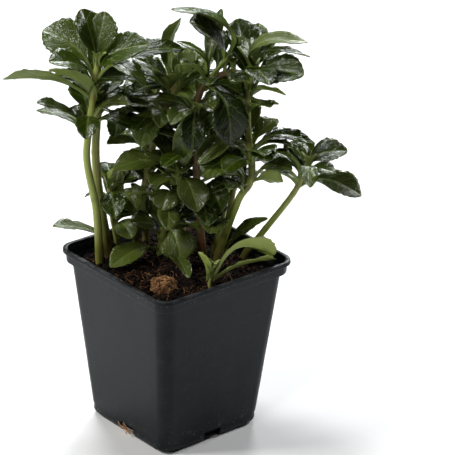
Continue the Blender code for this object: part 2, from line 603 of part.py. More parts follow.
class Layout:
    """Places every leaf so that it is clear of the pot, the soil and the leaves and stems of other shoots."""

    def __init__(self, fixed):
        self.fixed = fixed
        self.paths = {shoot.name: stem_path(shoot) for shoot in SHOOTS}
        self.stems = {}
        for shoot in SHOOTS:
            verts, faces = stem_body(shoot, self.paths[shoot.name])
            self.stems[shoot.name] = BVHTree.FromPolygons(verts, faces)
        self.placed = []
        self.blades = {shoot.name: [] for shoot in SHOOTS}

    def is_clear(self, shoot, blade, crossing):
        whole = BVHTree.FromPolygons(*leaf_body(blade, CLEARANCE))
        if any(whole.overlap(tree) for tree in self.fixed):
            return False
        if any(whole.overlap(tree) for name, tree in self.stems.items() if name != shoot.name):
            return False
        if any(whole.overlap(tree) for name, tree, _ in self.placed if name != shoot.name):
            return False
        if crossing:
            return True
        free = BVHTree.FromPolygons(*leaf_body(blade, CLEARANCE, FREE_SHARE))
        if free.overlap(self.stems[shoot.name]):
            return False
        return not any(free.overlap(tree) for name, _, tree in self.placed if name == shoot.name)

    def place(self, shoot, root, tip, leaf, tries):
        """Try a leaf, by tries of whether it may cross its shoot's blades, its largest bend and its size."""
        for crossing, limit, size in tries:
            for turn, lift in bend_steps(limit):
                end = bent(root, root + (tip - root) * size, turn, lift)
                blade = Blade(root, end, leaf.width * size, leaf.arch, leaf.face, leaf.fold)
                if self.is_clear(shoot, blade, crossing):
                    self.placed.append((shoot.name, BVHTree.FromPolygons(*leaf_body(blade)),
                                        BVHTree.FromPolygons(*leaf_body(blade, start=FREE_SHARE))))
                    self.blades[shoot.name].append(blade)
                    return

    def root(self, shoot, height, rank, heading):
        """The root of a leaf, inside its side of the stem: each leaf of a whorl is lower than the last."""
        centre = stem_point(self.paths[shoot.name], height * MM - (rank % 6) * WHORL_STEP)
        out = Vector((heading.x, heading.y, 0)).normalized()
        return centre + out * ROOT_OFFSET * shoot.thick[1] * MM

    def run(self):
        draw = random.Random(SEED)
        for shoot in SHOOTS:
            for rank, leaf in enumerate(shoot.leaves):
                tip = front(*leaf.tip)
                heading = tip - stem_point(self.paths[shoot.name], leaf.root * MM)
                self.place(shoot, self.root(shoot, leaf.root, rank, heading), tip, leaf, LISTED_TRIES)
        for shoot in SHOOTS:
            for fill in shoot.fills:
                for k in range(fill.count):
                    heading = radians(fill.start + (fill.end - fill.start) * (k + 0.5) / fill.count
                                      + draw.uniform(-9, 9))
                    rise = radians(fill.rise + (18 if k % 2 else -8) + draw.uniform(-6, 6))
                    length = fill.length * draw.uniform(0.86, 1.1)
                    ahead = front(cos(heading) * cos(rise), sin(heading) * cos(rise), sin(rise))
                    root = self.root(shoot, fill.root, k, ahead)
                    leaf = Leaf(fill.root, (0, 0, 0), fill.width * draw.uniform(0.85, 1.15),
                                draw.uniform(0.1, 0.24), draw.uniform(-12, 12))
                    self.place(shoot, root, root + ahead * length, leaf, RULE_TRIES)


def make_shoot(shoot, layout):
    """One leafy stem: its leaves are joined to its stem as one body."""
    green = material(shoot.name + "_green", (0.04, 0.09, 0.02), 0.4)
    stem = add_object(shoot.name, *stem_body(shoot, layout.paths[shoot.name]), green)
    leaves = [add_object(f"{shoot.name}_leaf_{k}", *leaf_body(blade), green)
              for k, blade in enumerate(layout.blades[shoot.name])]
    if leaves:
        apply_boolean(stem, "UNION", leaves)
    return stem


def main():
    clear_scene()
    pot = make_pot()
    soil = make_soil()
    tuft = make_tuft()
    layout = Layout([solid_tree(pot), solid_tree(soil), solid_tree(tuft)])
    layout.run()
    for shoot in SHOOTS:
        make_shoot(shoot, layout)


main()
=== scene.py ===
"""The looks of a Japanese spurge in a square nursery pot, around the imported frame.

Everything is in metres in the pot's frame: the origin is the centre of the pot's underside and +Z is up.
Stems and leaves are measured in millimetres in the plant's front frame: right, back and up as they look from
its best side. Each leafy shoot is laid out by the same rule as its solid, and then drawn with fine blades,
veins and teeth. Smaller leaves, set by rule too, fill the inside of the plant in the looks alone.
"""
from __future__ import annotations

import json
import logging
import random
from dataclasses import dataclass, field
from enum import Enum
from itertools import product
from math import cos, pi, radians, sin
from typing import Iterable, Sequence

import bpy
import numpy as np
from mathutils import Matrix, Quaternion, Vector
from mathutils.bvhtree import BVHTree

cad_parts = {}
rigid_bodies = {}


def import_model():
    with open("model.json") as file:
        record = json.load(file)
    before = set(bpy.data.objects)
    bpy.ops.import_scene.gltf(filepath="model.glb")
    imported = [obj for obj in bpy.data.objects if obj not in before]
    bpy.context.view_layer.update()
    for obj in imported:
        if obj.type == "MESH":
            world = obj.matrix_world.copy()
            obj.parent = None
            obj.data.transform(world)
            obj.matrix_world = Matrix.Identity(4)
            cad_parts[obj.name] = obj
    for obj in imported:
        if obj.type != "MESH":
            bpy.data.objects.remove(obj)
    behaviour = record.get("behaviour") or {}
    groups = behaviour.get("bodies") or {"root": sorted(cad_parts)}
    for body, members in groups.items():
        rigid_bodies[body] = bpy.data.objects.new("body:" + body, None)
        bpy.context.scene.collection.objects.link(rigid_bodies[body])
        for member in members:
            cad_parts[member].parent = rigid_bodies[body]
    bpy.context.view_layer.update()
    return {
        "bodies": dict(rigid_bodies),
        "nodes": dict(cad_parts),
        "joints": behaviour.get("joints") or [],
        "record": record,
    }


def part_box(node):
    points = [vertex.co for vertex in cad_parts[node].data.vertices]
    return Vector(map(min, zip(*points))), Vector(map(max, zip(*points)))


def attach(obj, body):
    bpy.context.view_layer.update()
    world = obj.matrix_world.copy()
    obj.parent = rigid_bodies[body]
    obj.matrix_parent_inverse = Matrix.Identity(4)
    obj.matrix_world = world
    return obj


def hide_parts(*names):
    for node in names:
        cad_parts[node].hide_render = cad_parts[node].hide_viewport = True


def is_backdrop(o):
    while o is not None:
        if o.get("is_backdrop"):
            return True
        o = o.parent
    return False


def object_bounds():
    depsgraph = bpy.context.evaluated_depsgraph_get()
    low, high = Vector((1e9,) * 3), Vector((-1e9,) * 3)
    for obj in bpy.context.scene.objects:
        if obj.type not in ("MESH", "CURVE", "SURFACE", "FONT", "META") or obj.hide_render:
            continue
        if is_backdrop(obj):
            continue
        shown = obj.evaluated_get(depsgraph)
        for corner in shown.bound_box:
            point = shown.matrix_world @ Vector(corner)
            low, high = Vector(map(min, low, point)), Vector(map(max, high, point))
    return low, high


log = logging.getLogger("spurge")
Array = np.ndarray
Object = bpy.types.Object
Material = bpy.types.Material
Socket = bpy.types.NodeSocket
Colour = tuple[float, float, float]
Place = tuple[float, float, float]
Pairs = tuple[tuple[float, float], ...]
Tries = tuple[tuple[bool, float, float], ...]

MM = 0.001
GAP = 0.3 * MM
UP = Vector((0, 0, 1))

# The photograph's view
FRONT_TURN = radians(-40.4)
VIEW_RISE = radians(24.8)
VIEW_ROLL = radians(1.33)
VIEW_DISTANCE = 1.6
VIEW_TARGET = (28.1, 0.0, 112.8)
FOCAL_PIXELS = 3056
FRAME_PIXELS = 461
SENSOR = 36.0
LAMP_AIM = 120 * MM

# Pot, soil and tuft, as in the solids. Slots and notches are given by depth, width and height
POT_HEIGHT = 97.5 * MM
RIM_HALF = 45.0 * MM
BAND_HALF = 43.6 * MM
SHOULDER_HALF = 41.4 * MM
HEEL_HALF = 33.0 * MM
FOOT_HALF = 31.3 * MM
RIM_HEIGHT = 7.4 * MM
LIP_HEIGHT = 2.4 * MM
HEEL_HEIGHT = 8.0 * MM
WALL = 1.0 * MM
FLOOR = 1.2 * MM
RIM_CORNER = 8.3 * MM
FOOT_CORNER = 6.5 * MM
CORNER_SHORTFALL = 0.414
SLOT = (8.0 * MM, 11.0 * MM, 6.5 * MM)
NOTCH = (8.0 * MM, 13.0 * MM, 2.9 * MM)
SOIL_TOP = 90.0 * MM
SOIL_RELIEF = 0.9 * MM
TUFT_PLACE = (-6, -27)
TUFT_SIZE = (7.4 * MM, 8.2 * MM, 7.0 * MM)
TUFT_SEAT_DEPTH = 1.3 * MM

# The rule that lays out stems and leaves, as in the solids, with angles in degrees
STEM_SIDES = 6
STEM_STEPS = 2
STEM_ROOT_DEPTH = 18.0 * MM
STEM_TIP = 2.0 * MM
STEM_TIP_SHARE = 0.55
PETIOLE_SHARE = 0.17
PETIOLE_HALF = 0.85 * MM
FREE_SHARE = 0.38
BLADE_EDGE = 0.65 * MM
RIB_DEPTHS = ((0.0, 1.7), (0.17, 1.6), (0.45, 1.15), (0.8, 0.9), (1.0, 0.7))
BLADE_SWELL = 1.4
BOW_START = 5.0
BOW_EASE = 2.4
BLADE_FULLNESS = 0.72
TOOTH_REACH = 1.04
NOTCH_REACH = 0.95
BROAD_EDGE = ((0.22, 1.0), (0.48, TOOTH_REACH), (0.55, NOTCH_REACH), (0.7, TOOTH_REACH), (0.77, NOTCH_REACH),
              (0.88, TOOTH_REACH))
NARROW_EDGE = ((0.24, 1.0), (0.55, TOOTH_REACH), (0.62, NOTCH_REACH), (0.84, TOOTH_REACH))
NARROW_HALF = 7.6 * MM
RIB_STATIONS = (0.45,)
CHANNEL = 0.22
WAVE = 0.10
WAVE_TURNS = 9
WHORL_STEP = 1.5 * MM
WHORL_LEAVES = 6
ROOT_OFFSET = 0.5
CLEARANCE = 0.35 * MM
BEND_TURNS = range(-36, 37, 6)
BEND_LIFTS = range(-24, 31, 6)
FILL_TURN = 9
FILL_RISES = (-8, 18)
FILL_TILT = 6
FILL_LENGTHS = (0.86, 1.1)
FILL_WIDTHS = (0.85, 1.15)
FILL_ARCHES = (0.1, 0.24)
FILL_FACE = 12
LISTED_TRIES = ((False, 6, 1.0), (True, 6, 1.0), (False, 12, 1.0), (True, 24, 1.0), (True, 24, 0.8))
RULE_TRIES = ((False, 60, 1.0), (False, 60, 0.8), (True, 60, 1.0))
INNER_TRIES = ((True, 24, 1.0), (True, 36, 0.75), (True, 24, 0.55))
SEED = 11

# Fine blades: the peaks and notches of their teeth, the spacing of veins in millimetres, and the relief
BROAD_TEETH = ((0.0, 1.0), (0.48, 1.02), (0.515, 0.97), (0.6, 1.035), (0.635, 0.965), (0.71, 1.04),
               (0.745, 0.955), (0.81, 1.04), (0.845, 0.94), (0.9, 1.03), (0.93, 0.93), (0.965, 1.0),
               (1.0, 1.0))
NARROW_TEETH = ((0.0, 1.0), (0.55, 1.03), (0.59, 0.96), (0.7, 1.04), (0.74, 0.95), (0.85, 1.03),
                (0.885, 0.94), (0.95, 1.0), (1.0, 1.0))
VEIN_SPACING = 5.4
VEIN_SLANT = 1.15
RIDGE_SPACING = 1.6
QUILT = 0.2 * MM
MARGIN_WAVE = 0.5 * MM

# How far inside the solids' box the leaves stay
BOX_MARGIN = 0.02 * MM


@dataclass(frozen=True)
class Leaf:
    """One leaf: the height of its root on the stem, its tip, width and arch, its face's turn and its fold."""

    root: float
    tip: Place
    width: float
    arch: float
    face: float
    fold: float = CHANNEL


@dataclass(frozen=True)
class Fill:
    """Leaves set round a stem by rule, between two headings, where 0 is right and 90 is back."""

    count: int
    start: float
    end: float
    root: float
    length: float
    rise: float = 25
    width: float = 14


@dataclass(frozen=True)
class Shoot:
    """A leafy stem: the points that it passes, its radii at foot and top, its leaves and its redness."""

    name: str
    stem: tuple[Place, ...]
    thick: tuple[float, float]
    leaves: tuple[Leaf, ...] = ()
    fills: tuple[Fill, ...] = ()
    redness: float = 0.0


# Every stem with its leaves, as in the solids
SHOOTS = (
    Shoot("shoot_front_left",
          stem=((-40.5, 1, 90), (-42, -2, 121.5), (-47, -3, 150.5), (-45.5, -2, 171.5), (-42, -2, 202.5)),
          thick=(2.4, 1.7),
          leaves=(Leaf(201.5, (-50.5, 8, 230), 18, 0.1, 0), Leaf(201.5, (-38.5, 8, 229), 20, 0.08, 0),
                  Leaf(199.5, (-70.5, 14, 216), 22, 0.16, 35), Leaf(195.5, (-65.5, -18, 211), 16, 0.2, 25),
                  Leaf(191.5, (-90.5, -2, 194.5), 15, 0.13, -40),
                  Leaf(197.5, (-14.5, -6, 217), 18, 0.24, 35),
                  Leaf(197.5, (3, 8, 209.5), 14, 0.14, 15), Leaf(197.5, (-17, -16, 201.5), 14, 0.34, 0),
                  Leaf(173.5, (-66.5, -6, 202), 15, 0.3, -40), Leaf(172.5, (-72.5, -8, 184.5), 15, 0.1, 0),
                  Leaf(172.5, (-74, 8, 173.5), 8, 0.1, 0), Leaf(180.5, (-46.5, -24, 171.5), 12, 0.3, 5),
                  Leaf(172.5, (-17, -3, 197), 15, 0.42, 10), Leaf(172.5, (-25, -16, 188), 13, 0.2, 10)),
          fills=(Fill(3, 40, 150, 191.5, 34, 10), Fill(2, 50, 140, 172.5, 30, 15)), redness=0.1),
    Shoot("shoot_left_inner",
          stem=((-36, 10, 90), (-40.5, 7, 122), (-43, 6, 151), (-41.5, 6, 177)),
          thick=(3.0, 2.0),
          leaves=(Leaf(177, (-33, 2, 162), 14, 0.35, 30),),
          fills=(Fill(3, 10, 120, 174, 32, 10),), redness=0.35),
    Shoot("shoot_left_low",
          stem=((-31.5, 18.5, 90), (-35, 14, 114.5), (-36, 14, 127.5)),
          thick=(1.6, 1.3),
          leaves=(Leaf(115, (-32, 18, 137), 14, 0.1, 0), Leaf(127.5, (-32, -11, 122), 14, 0.18, 10),
                  Leaf(127.5, (-20.5, 1, 120.5), 15, 0.22, 25), Leaf(127.5, (-49.5, 18, 120.5), 8, 0.2, 0),
                  Leaf(99, (-65.5, 4, 109.5), 14, 0.1, 0), Leaf(112.5, (-23.5, -2, 106), 13, 0.25, 20),
                  Leaf(127.5, (-20, 18, 133), 14, 0.12, 0), Leaf(109, (-23, 16, 112.5), 14, 0.2, 0)),
          fills=(Fill(1, 20, 100, 112.5, 26, 10, 10),)),
    Shoot("shoot_middle_back",
          stem=((-22.5, 19, 90), (-19.5, 14, 112), (-17, 16, 133), (-9.5, 14, 167.5), (-1.5, 12, 187.5)),
          thick=(2.0, 1.6),
          leaves=(Leaf(185.5, (6, 4, 224.5), 11, 0.22, 0), Leaf(183.5, (6.5, 24, 203.5), 19, 0.16, 0),
                  Leaf(183.5, (-18, -3, 200), 13, 0.2, 15), Leaf(183.5, (-14, 26, 192), 9, 0.14, 0),
                  Leaf(183.5, (19.5, 14, 196), 9, 0.14, 0), Leaf(174.5, (-29, -4, 183), 13, 0.16, 10),
                  Leaf(173.5, (-19, -6, 160), 14, 0.28, 30), Leaf(171.5, (-9, -8, 172), 11, 0.3, 10),
                  Leaf(131, (-24.5, 12, 127), 12, 0.2, 10), Leaf(143, (-3.5, 22, 133), 15, 0.2, 0)),
          fills=(Fill(2, 60, 170, 183.5, 32, 0), Fill(2, 60, 200, 163.5, 30, 10)), redness=0.3),
    Shoot("shoot_center_front",
          stem=((-9, 13, 90), (-6, 6, 111), (-1.5, 4, 130), (0.5, 2, 143)),
          thick=(2.2, 1.8),
          leaves=(Leaf(143, (-33.5, -6, 147.5), 15.5, 0.18, 20), Leaf(143, (-18.5, 6, 160.5), 18, 0.12, 0),
                  Leaf(143, (11, -22, 131.5), 17, 0.24, 5), Leaf(141, (-11.5, 8, 117), 16, 0.3, 40),
                  Leaf(141, (-27, 16, 150.5), 11, 0.12, 0), Leaf(139, (-7.5, -10, 126), 14, 0.3, 15),
                  Leaf(101.5, (-25.5, 4, 114), 16, 0.2, 20), Leaf(111, (2.5, -9, 97), 19, 0.25, 30),
                  Leaf(99, (7, -24, 94.5), 11, 0.12, -20), Leaf(99, (-34.5, -10, 93), 14, 0.14, 20),
                  Leaf(141, (9.5, 14, 139), 13, 0.15, 0)),
          fills=(Fill(2, 40, 110, 141, 28, 10),), redness=-0.2),
    Shoot("shoot_brown",
          stem=((15, 5, 90), (13.5, -1, 100), (9.5, 1, 147), (9, 4, 176), (13.5, 6, 191.5), (26, 6, 198)),
          thick=(2.4, 1.7),
          leaves=(Leaf(193.5, (-5, 8, 231), 17, 0.54, -15), Leaf(199, (5, -8, 230.5), 20, 0.18, 35),
                  Leaf(194.5, (-4, 12, 210.5), 6, 0.35, 0), Leaf(197, (21, 20, 227.5), 9, 0.14, 0),
                  Leaf(198, (28, 4, 206), 6, 0.05, 0), Leaf(198, (27, -12, 164.5), 19, 0.32, 25),
                  Leaf(182.5, (3.5, -8, 150.5), 11, 0.25, 25), Leaf(180.5, (7.5, -16, 162), 13, 0.3, 15),
                  Leaf(191.5, (32.5, -4, 189.5), 14, 0.2, 15), Leaf(139, (23.5, -14, 128.5), 14, 0.3, 20),
                  Leaf(150, (25, 6, 136), 14, 0.25, 10)),
          fills=(Fill(2, 0, 60, 193.5, 32, 0), Fill(1, 80, 130, 173, 30, 10)), redness=1.0),
    Shoot("shoot_right_mid",
          stem=((21, 5.5, 90), (31.5, -3, 129), (38.5, -3, 143.5), (36, 2, 167.5), (35.5, 4, 185),
                (37.5, 4, 198)),
          thick=(2.4, 1.6),
          leaves=(Leaf(194, (26.5, 20, 222.5), 19, 0.12, 0), Leaf(194, (40.5, 26, 219), 13, 0.12, 0),
                  Leaf(194, (65.5, -2, 218.5), 12, 0.4, 15), Leaf(194, (67, -8, 213), 7, 0.36, 0),
                  Leaf(192, (63.5, -14, 205.5), 20, 0.2, 35), Leaf(196, (45.5, -26, 204.5), 16, 0.3, 5),
                  Leaf(190, (55, -6, 191), 9, 0.1, -30), Leaf(188, (51.5, 0, 183.5), 12, -0.08, -20),
                  Leaf(163.5, (33.5, 14, 183.5), 16, 0.1, 0), Leaf(163.5, (51, 13, 170), 13, 0.12, 0),
                  Leaf(163.5, (71, -4, 163.5), 9, 0.22, 15), Leaf(161.5, (48, -20, 160.5), 15, 0.2, 15),
                  Leaf(161.5, (10.5, -12, 154), 16, 0.2, 15), Leaf(152.5, (14, -18, 148), 18, 0.22, 20),
                  Leaf(144.5, (55, -6, 142.5), 14, 0.12, -55), Leaf(161.5, (59.5, 6, 157.5), 11, 0.2, 0),
                  Leaf(149.5, (60, -12, 149.5), 13, 0.2, 10), Leaf(103, (49.5, 8, 112.5), 13, 0.1, 0)),
          fills=(Fill(3, 30, 130, 192, 32, 15), Fill(2, 50, 140, 161.5, 30, 10)), redness=0.1),
    Shoot("shoot_inner",
          stem=((19, 13, 90), (25.5, 9, 127), (23, 14, 146), (18.5, 18, 160)),
          thick=(1.8, 1.5),
          fills=(Fill(4, 20, 200, 158, 30, 10), Fill(2, 150, 250, 114.5, 26, 0))),
    Shoot("shoot_right",
          stem=((35, 11, 90), (43.5, 4, 106.5), (60, 0, 132.5), (66.5, 0, 147)),
          thick=(2.0, 1.5),
          leaves=(Leaf(146.5, (68.5, -22, 146.5), 9.5, 0.3, 0), Leaf(146.5, (88, 4, 156.5), 16, 0.24, 25),
                  Leaf(146.5, (63.5, 14, 160), 14, 0.12, 0), Leaf(146.5, (56.5, 8, 159.5), 11, 0.16, 0),
                  Leaf(146.5, (82, -7, 148.5), 12, 0.25, 10), Leaf(145.5, (96, -4, 134.5), 15.5, 0.19, 30),
                  Leaf(146.5, (48.5, -2, 156.5), 12, 0.14, -10), Leaf(141, (47, -8, 147.5), 9, 0.12, -10)),
          fills=(Fill(2, 80, 160, 142, 28, -5),), redness=0.2),
    Shoot("shoot_front_low",
          stem=((18.5, -30, 90), (18, -30, 94), (18.5, -29.5, 97.5)),
          thick=(1.2, 1.1),
          leaves=(Leaf(96, (12, -30, 112.5), 8, 0.1, -20, 0.6), Leaf(97.5, (51.5, -8, 101.5), 20, 0.35, -40),
                  Leaf(99.5, (52.5, -6, 98), 12, 0.1, -30))),
    Shoot("shoot_back_left",
          stem=((-17, 29, 90), (-17, 28, 124), (-15.5, 30, 154), (-14.5, 30, 168)),
          thick=(2.0, 1.6),
          fills=(Fill(5, 20, 250, 166, 32, 15), Fill(2, 40, 130, 126, 28, 10)), redness=0.2),
    Shoot("shoot_back_middle",
          stem=((2, 36, 90), (2.5, 35, 125), (3, 36, 155), (3.5, 36, 171)),
          thick=(2.2, 1.6),
          fills=(Fill(6, 0, 300, 169, 34, 18), Fill(3, 30, 150, 130, 32, 10))),
    Shoot("shoot_back_right",
          stem=((24, 22, 90), (28.5, 25, 120), (34, 28, 145), (37, 28, 157.5)),
          thick=(2.0, 1.6),
          fills=(Fill(5, 50, 270, 155.5, 30, 12), Fill(2, 30, 110, 123, 28, 5)), redness=0.4),
)

# How young and pale the leaves of some shoots are, at the least
YOUNG_SHOOTS = {"shoot_front_low": 0.9, "shoot_center_front": 0.13, "shoot_right": 0.04}

# Smaller leaves round the stems, which the looks alone have
INNER_FILLS = {
    "shoot_front_left": (Fill(3, 20, 150, 198, 22, 30, 12), Fill(4, 10, 160, 190, 26, 0, 13),
                         Fill(4, -10, 110, 171, 24, 5, 12)),
    "shoot_left_inner": (Fill(3, 10, 110, 175, 24, 30, 12),),
    "shoot_left_low": (Fill(4, 10, 120, 126, 22, 20, 12), Fill(3, 0, 110, 108, 22, 15, 12)),
    "shoot_middle_back": (Fill(6, -20, 300, 186, 26, 30, 13), Fill(6, 0, 320, 172, 26, 10, 13),
                          Fill(5, 0, 300, 152, 26, 10, 13), Fill(4, 20, 160, 130, 22, 15, 12)),
    "shoot_center_front": (Fill(6, 0, 320, 142, 24, 30, 13), Fill(5, 0, 300, 127, 24, 10, 13),
                           Fill(4, 20, 160, 108, 22, 20, 12)),
    "shoot_brown": (Fill(5, 0, 300, 197, 24, 30, 13), Fill(6, 0, 320, 180, 26, 15, 13),
                    Fill(6, 0, 320, 160, 26, 10, 13), Fill(5, 0, 320, 138, 26, 10, 13),
                    Fill(4, 40, 300, 116, 24, 10, 12)),
    "shoot_right_mid": (Fill(6, 20, 320, 196, 26, 35, 13), Fill(6, 60, 320, 186, 24, 5, 13),
                        Fill(4, 90, 270, 173, 24, 5, 12), Fill(6, 0, 320, 158, 26, 10, 13),
                        Fill(4, 90, 270, 140, 24, 10, 12)),
    "shoot_inner": (Fill(5, 0, 320, 159, 26, 35, 13), Fill(6, 0, 320, 140, 26, 15, 13),
                    Fill(4, 90, 300, 120, 24, 10, 12)),
    "shoot_right": (Fill(5, 60, 230, 147, 18, 30, 11),),
    "shoot_back_left": (Fill(5, 0, 240, 167, 26, 35, 13), Fill(5, -40, 140, 150, 26, 10, 13),
                        Fill(4, -40, 100, 128, 24, 10, 13)),
    "shoot_back_middle": (Fill(5, 0, 320, 170, 26, 35, 13), Fill(6, 0, 330, 152, 28, 10, 13),
                          Fill(6, 0, 330, 130, 26, 10, 13), Fill(4, 0, 300, 112, 22, 10, 12)),
    "shoot_back_right": (Fill(5, 60, 300, 157, 24, 35, 13), Fill(5, 60, 300, 140, 24, 10, 13),
                         Fill(3, 60, 200, 120, 22, 10, 12)),
}


def front(right: float, back: float, up: float) -> Vector:
    """A place of the front frame, in millimetres, as a point of the pot's frame in metres."""
    return Matrix.Rotation(FRONT_TURN, 3, "Z") @ Vector((right, back, up)) * MM


# The way from the plant to the viewer
VIEWER = front(0, -1, 0).normalized()


def unit(vectors: Array) -> Array:
    """Vectors along the last axis, brought to length one."""
    return vectors / np.maximum(np.linalg.norm(vectors, axis=-1, keepdims=True), 1e-12)


def value_noise(places: Array, scale: float, seed: int) -> Array:
    """Smooth noise from -1 to 1.

    Random values sit on a lattice of the given scale. A place takes the mix of the eight values round it,
    each weighed by a smooth step of its distance along every axis.

    Args:
        places: Points along the last axis, in metres.
        scale: Size of a lattice cell, in metres.
        seed: Seed of the lattice's values.

    Returns:
        One value for each point.
    """
    size = 32
    lattice = np.random.default_rng(seed).uniform(-1, 1, (size, size, size))
    cells = places / scale
    low = np.floor(cells).astype(int)
    part = cells - low
    part = part * part * (3 - 2 * part)
    total = np.zeros(places.shape[:-1])
    for corner in product((0, 1), repeat=3):
        index = (low + np.array(corner)) % size
        weight = np.prod(np.where(np.array(corner) == 1, part, 1 - part), axis=-1)
        total += weight * lattice[index[..., 0], index[..., 1], index[..., 2]]
    return total


def ball(polar: Array, turn: Array) -> Array:
    """Points of a ball of radius one, on a grid of its angles from the pole and round it."""
    polar, turn = np.meshgrid(polar, turn, indexing="ij")
    return np.stack([np.sin(polar) * np.cos(turn), np.sin(polar) * np.sin(turn), np.cos(polar)], axis=-1)


def tube_rings(paths: Array, radii: Array, sides: int) -> Array:
    """Rings round paths.

    A ring's points are path + radius * (cos t * side + sin t * other), where side and other stand square to
    the path.

    Args:
        paths: Points of shape (tubes, rings, 3).
        radii: Radii of shape (tubes, rings), or (tubes, rings, sides) where they change round the ring.
        sides: Points in a ring.

    Returns:
        Points of shape (tubes, rings, sides, 3).
    """
    along = unit(np.gradient(paths, axis=1))
    middle = unit(along.mean(axis=1))
    helper = np.where(np.abs(middle[:, :1]) < 0.8, [[1.0, 0.0, 0.0]], [[0.0, 1.0, 0.0]])
    side = unit(np.cross(along, np.cross(helper[:, None], along)))
    other = np.cross(along, side)
    turn = np.linspace(0, 2 * pi, sides, endpoint=False)
    if radii.ndim == 2:
        radii = radii[..., None]
    spread = side[:, :, None] * np.cos(turn)[:, None] + other[:, :, None] * np.sin(turn)[:, None]
    return paths[:, :, None] + radii[..., None] * spread


def volumes(points: Array, triangles: Array) -> Array:
    """Six times the volume of each form under the triangles, as the sum of their corners' triple products."""
    corners = points[:, triangles]
    return np.einsum("nfi,nfi->n", corners[:, :, 0], np.cross(corners[:, :, 1], corners[:, :, 2]))


class Form:
    """A mesh in the making: closed forms, each a grid of rings with its ends drawn together to a point."""

    def __init__(self) -> None:
        """Starts with no forms."""
        self.points: list[Array] = []
        self.faces: list[Array] = []
        self.slots: list[Array] = []
        self.marks: list[Array] = []
        self.tints: list[Array] = []
        self.count = 0

    def add(self, rings: Array, start: Array, end: Array, tints: Array | None = None,
            marks: Array | None = None, slot: int = 0) -> None:
        """Adds closed forms that all have the same grid.

        Ring k joins ring k + 1 by a band of quads, and the first and last rings are closed by fans. Each form
        is turned inside out if its volume comes out below zero.

        Args:
            rings: Points of shape (forms, rings, sides, 3).
            start: Point of the first fan of each form, of shape (forms, 3).
            end: Point of the last fan of each form, of shape (forms, 3).
            tints: What the material reads at each ring point, of the rings' shape, or None for zeros.
            marks: More that the material reads, in the same way.
            slot: Index of the material.
        """
        forms, length, sides, _ = rings.shape
        points = np.concatenate([rings.reshape(forms, -1, 3), start[:, None], end[:, None]], axis=1)
        row, column = np.meshgrid(np.arange(length - 1), np.arange(sides), indexing="ij")
        after = (column + 1) % sides
        quads = np.stack([row * sides + column, row * sides + after,
                          (row + 1) * sides + after, (row + 1) * sides + column], axis=-1).reshape(-1, 4)
        around = np.arange(sides)
        beside = (around + 1) % sides
        last = (length - 1) * sides
        first_fan = np.stack([beside, around, np.full(sides, length * sides)], axis=-1)
        last_fan = np.stack([last + around, last + beside, np.full(sides, length * sides + 1)], axis=-1)
        fans = np.concatenate([first_fan, last_fan])
        volume = volumes(points, fans) + volumes(points, quads[:, :3]) + volumes(points, quads[:, [0, 2, 3]])
        for inside_out in (False, True):
            chosen = np.flatnonzero((volume < 0) == inside_out)
            offsets = self.count + chosen[:, None, None] * points.shape[1]
            for pattern in (quads, fans):
                order = pattern[:, ::-1] if inside_out else pattern
                faces = (order[None] + offsets).reshape(-1, pattern.shape[1])
                self.faces.append(faces)
                self.slots.append(np.full(len(faces), slot))
        self.points.append(points.reshape(-1, 3))
        for store, values in ((self.marks, marks), (self.tints, tints)):
            values = np.zeros(rings.shape) if values is None else values
            ends = np.stack([values[:, 0].mean(1), values[:, -1].mean(1)], axis=1)
            store.append(np.concatenate([values.reshape(forms, -1, 3), ends], axis=1).reshape(-1, 3))
        self.count += forms * points.shape[1]

    def add_threads(self, paths: Array, radii: Array, sides: int, tones: Array) -> None:
        """Adds thin tubes that end in points, each in one tone.

        Args:
            paths: Points of shape (tubes, rings, 3).
            radii: Radii of shape (tubes, rings), or (tubes, 1) where they stay the same.
            sides: Points in a ring.
            tones: Tone of each tube.
        """
        rings = tube_rings(paths, radii, sides)
        self.add(rings, paths[:, 0], paths[:, -1], np.broadcast_to(tones[:, None, None, None], rings.shape))

    def build(self, name: str, materials: Sequence[Material]) -> Object:
        """Makes the mesh object, with smooth shading all over.

        Args:
            name: Name of the object.
            materials: Materials by slot.

        Returns:
            The new object, at the origin.
        """
        points = np.concatenate(self.points)
        corners = np.concatenate([faces.ravel() for faces in self.faces])
        sizes = np.concatenate([np.full(len(faces), faces.shape[1]) for faces in self.faces])
        starts = np.concatenate([[0], np.cumsum(sizes)[:-1]])
        mesh = bpy.data.meshes.new(name)
        mesh.vertices.add(len(points))
        mesh.vertices.foreach_set("co", points.astype(np.float32).ravel())
        mesh.loops.add(len(corners))
        mesh.loops.foreach_set("vertex_index", corners.astype(np.int32))
        mesh.polygons.add(len(sizes))
        mesh.polygons.foreach_set("loop_start", starts.astype(np.int32))
        mesh.polygons.foreach_set("material_index", np.concatenate(self.slots).astype(np.int32))
        mesh.polygons.foreach_set("use_smooth", np.ones(len(sizes), bool))
        for label, values in (("marks", self.marks), ("tints", self.tints)):
            attribute = mesh.attributes.new(label, "FLOAT_VECTOR", "POINT")
            attribute.data.foreach_set("vector", np.concatenate(values).astype(np.float32).ravel())
        mesh.update(calc_edges=True)
        mesh.validate()
        for material in materials:
            mesh.materials.append(material)
        obj = bpy.data.objects.new(name, mesh)
        bpy.context.scene.collection.objects.link(obj)
        return obj


def same(shape: Iterable[int], *values: float) -> Array:
    """One triple of values for every point of a shape."""
    return np.broadcast_to(np.array(values, float), (*shape, 3)).copy()


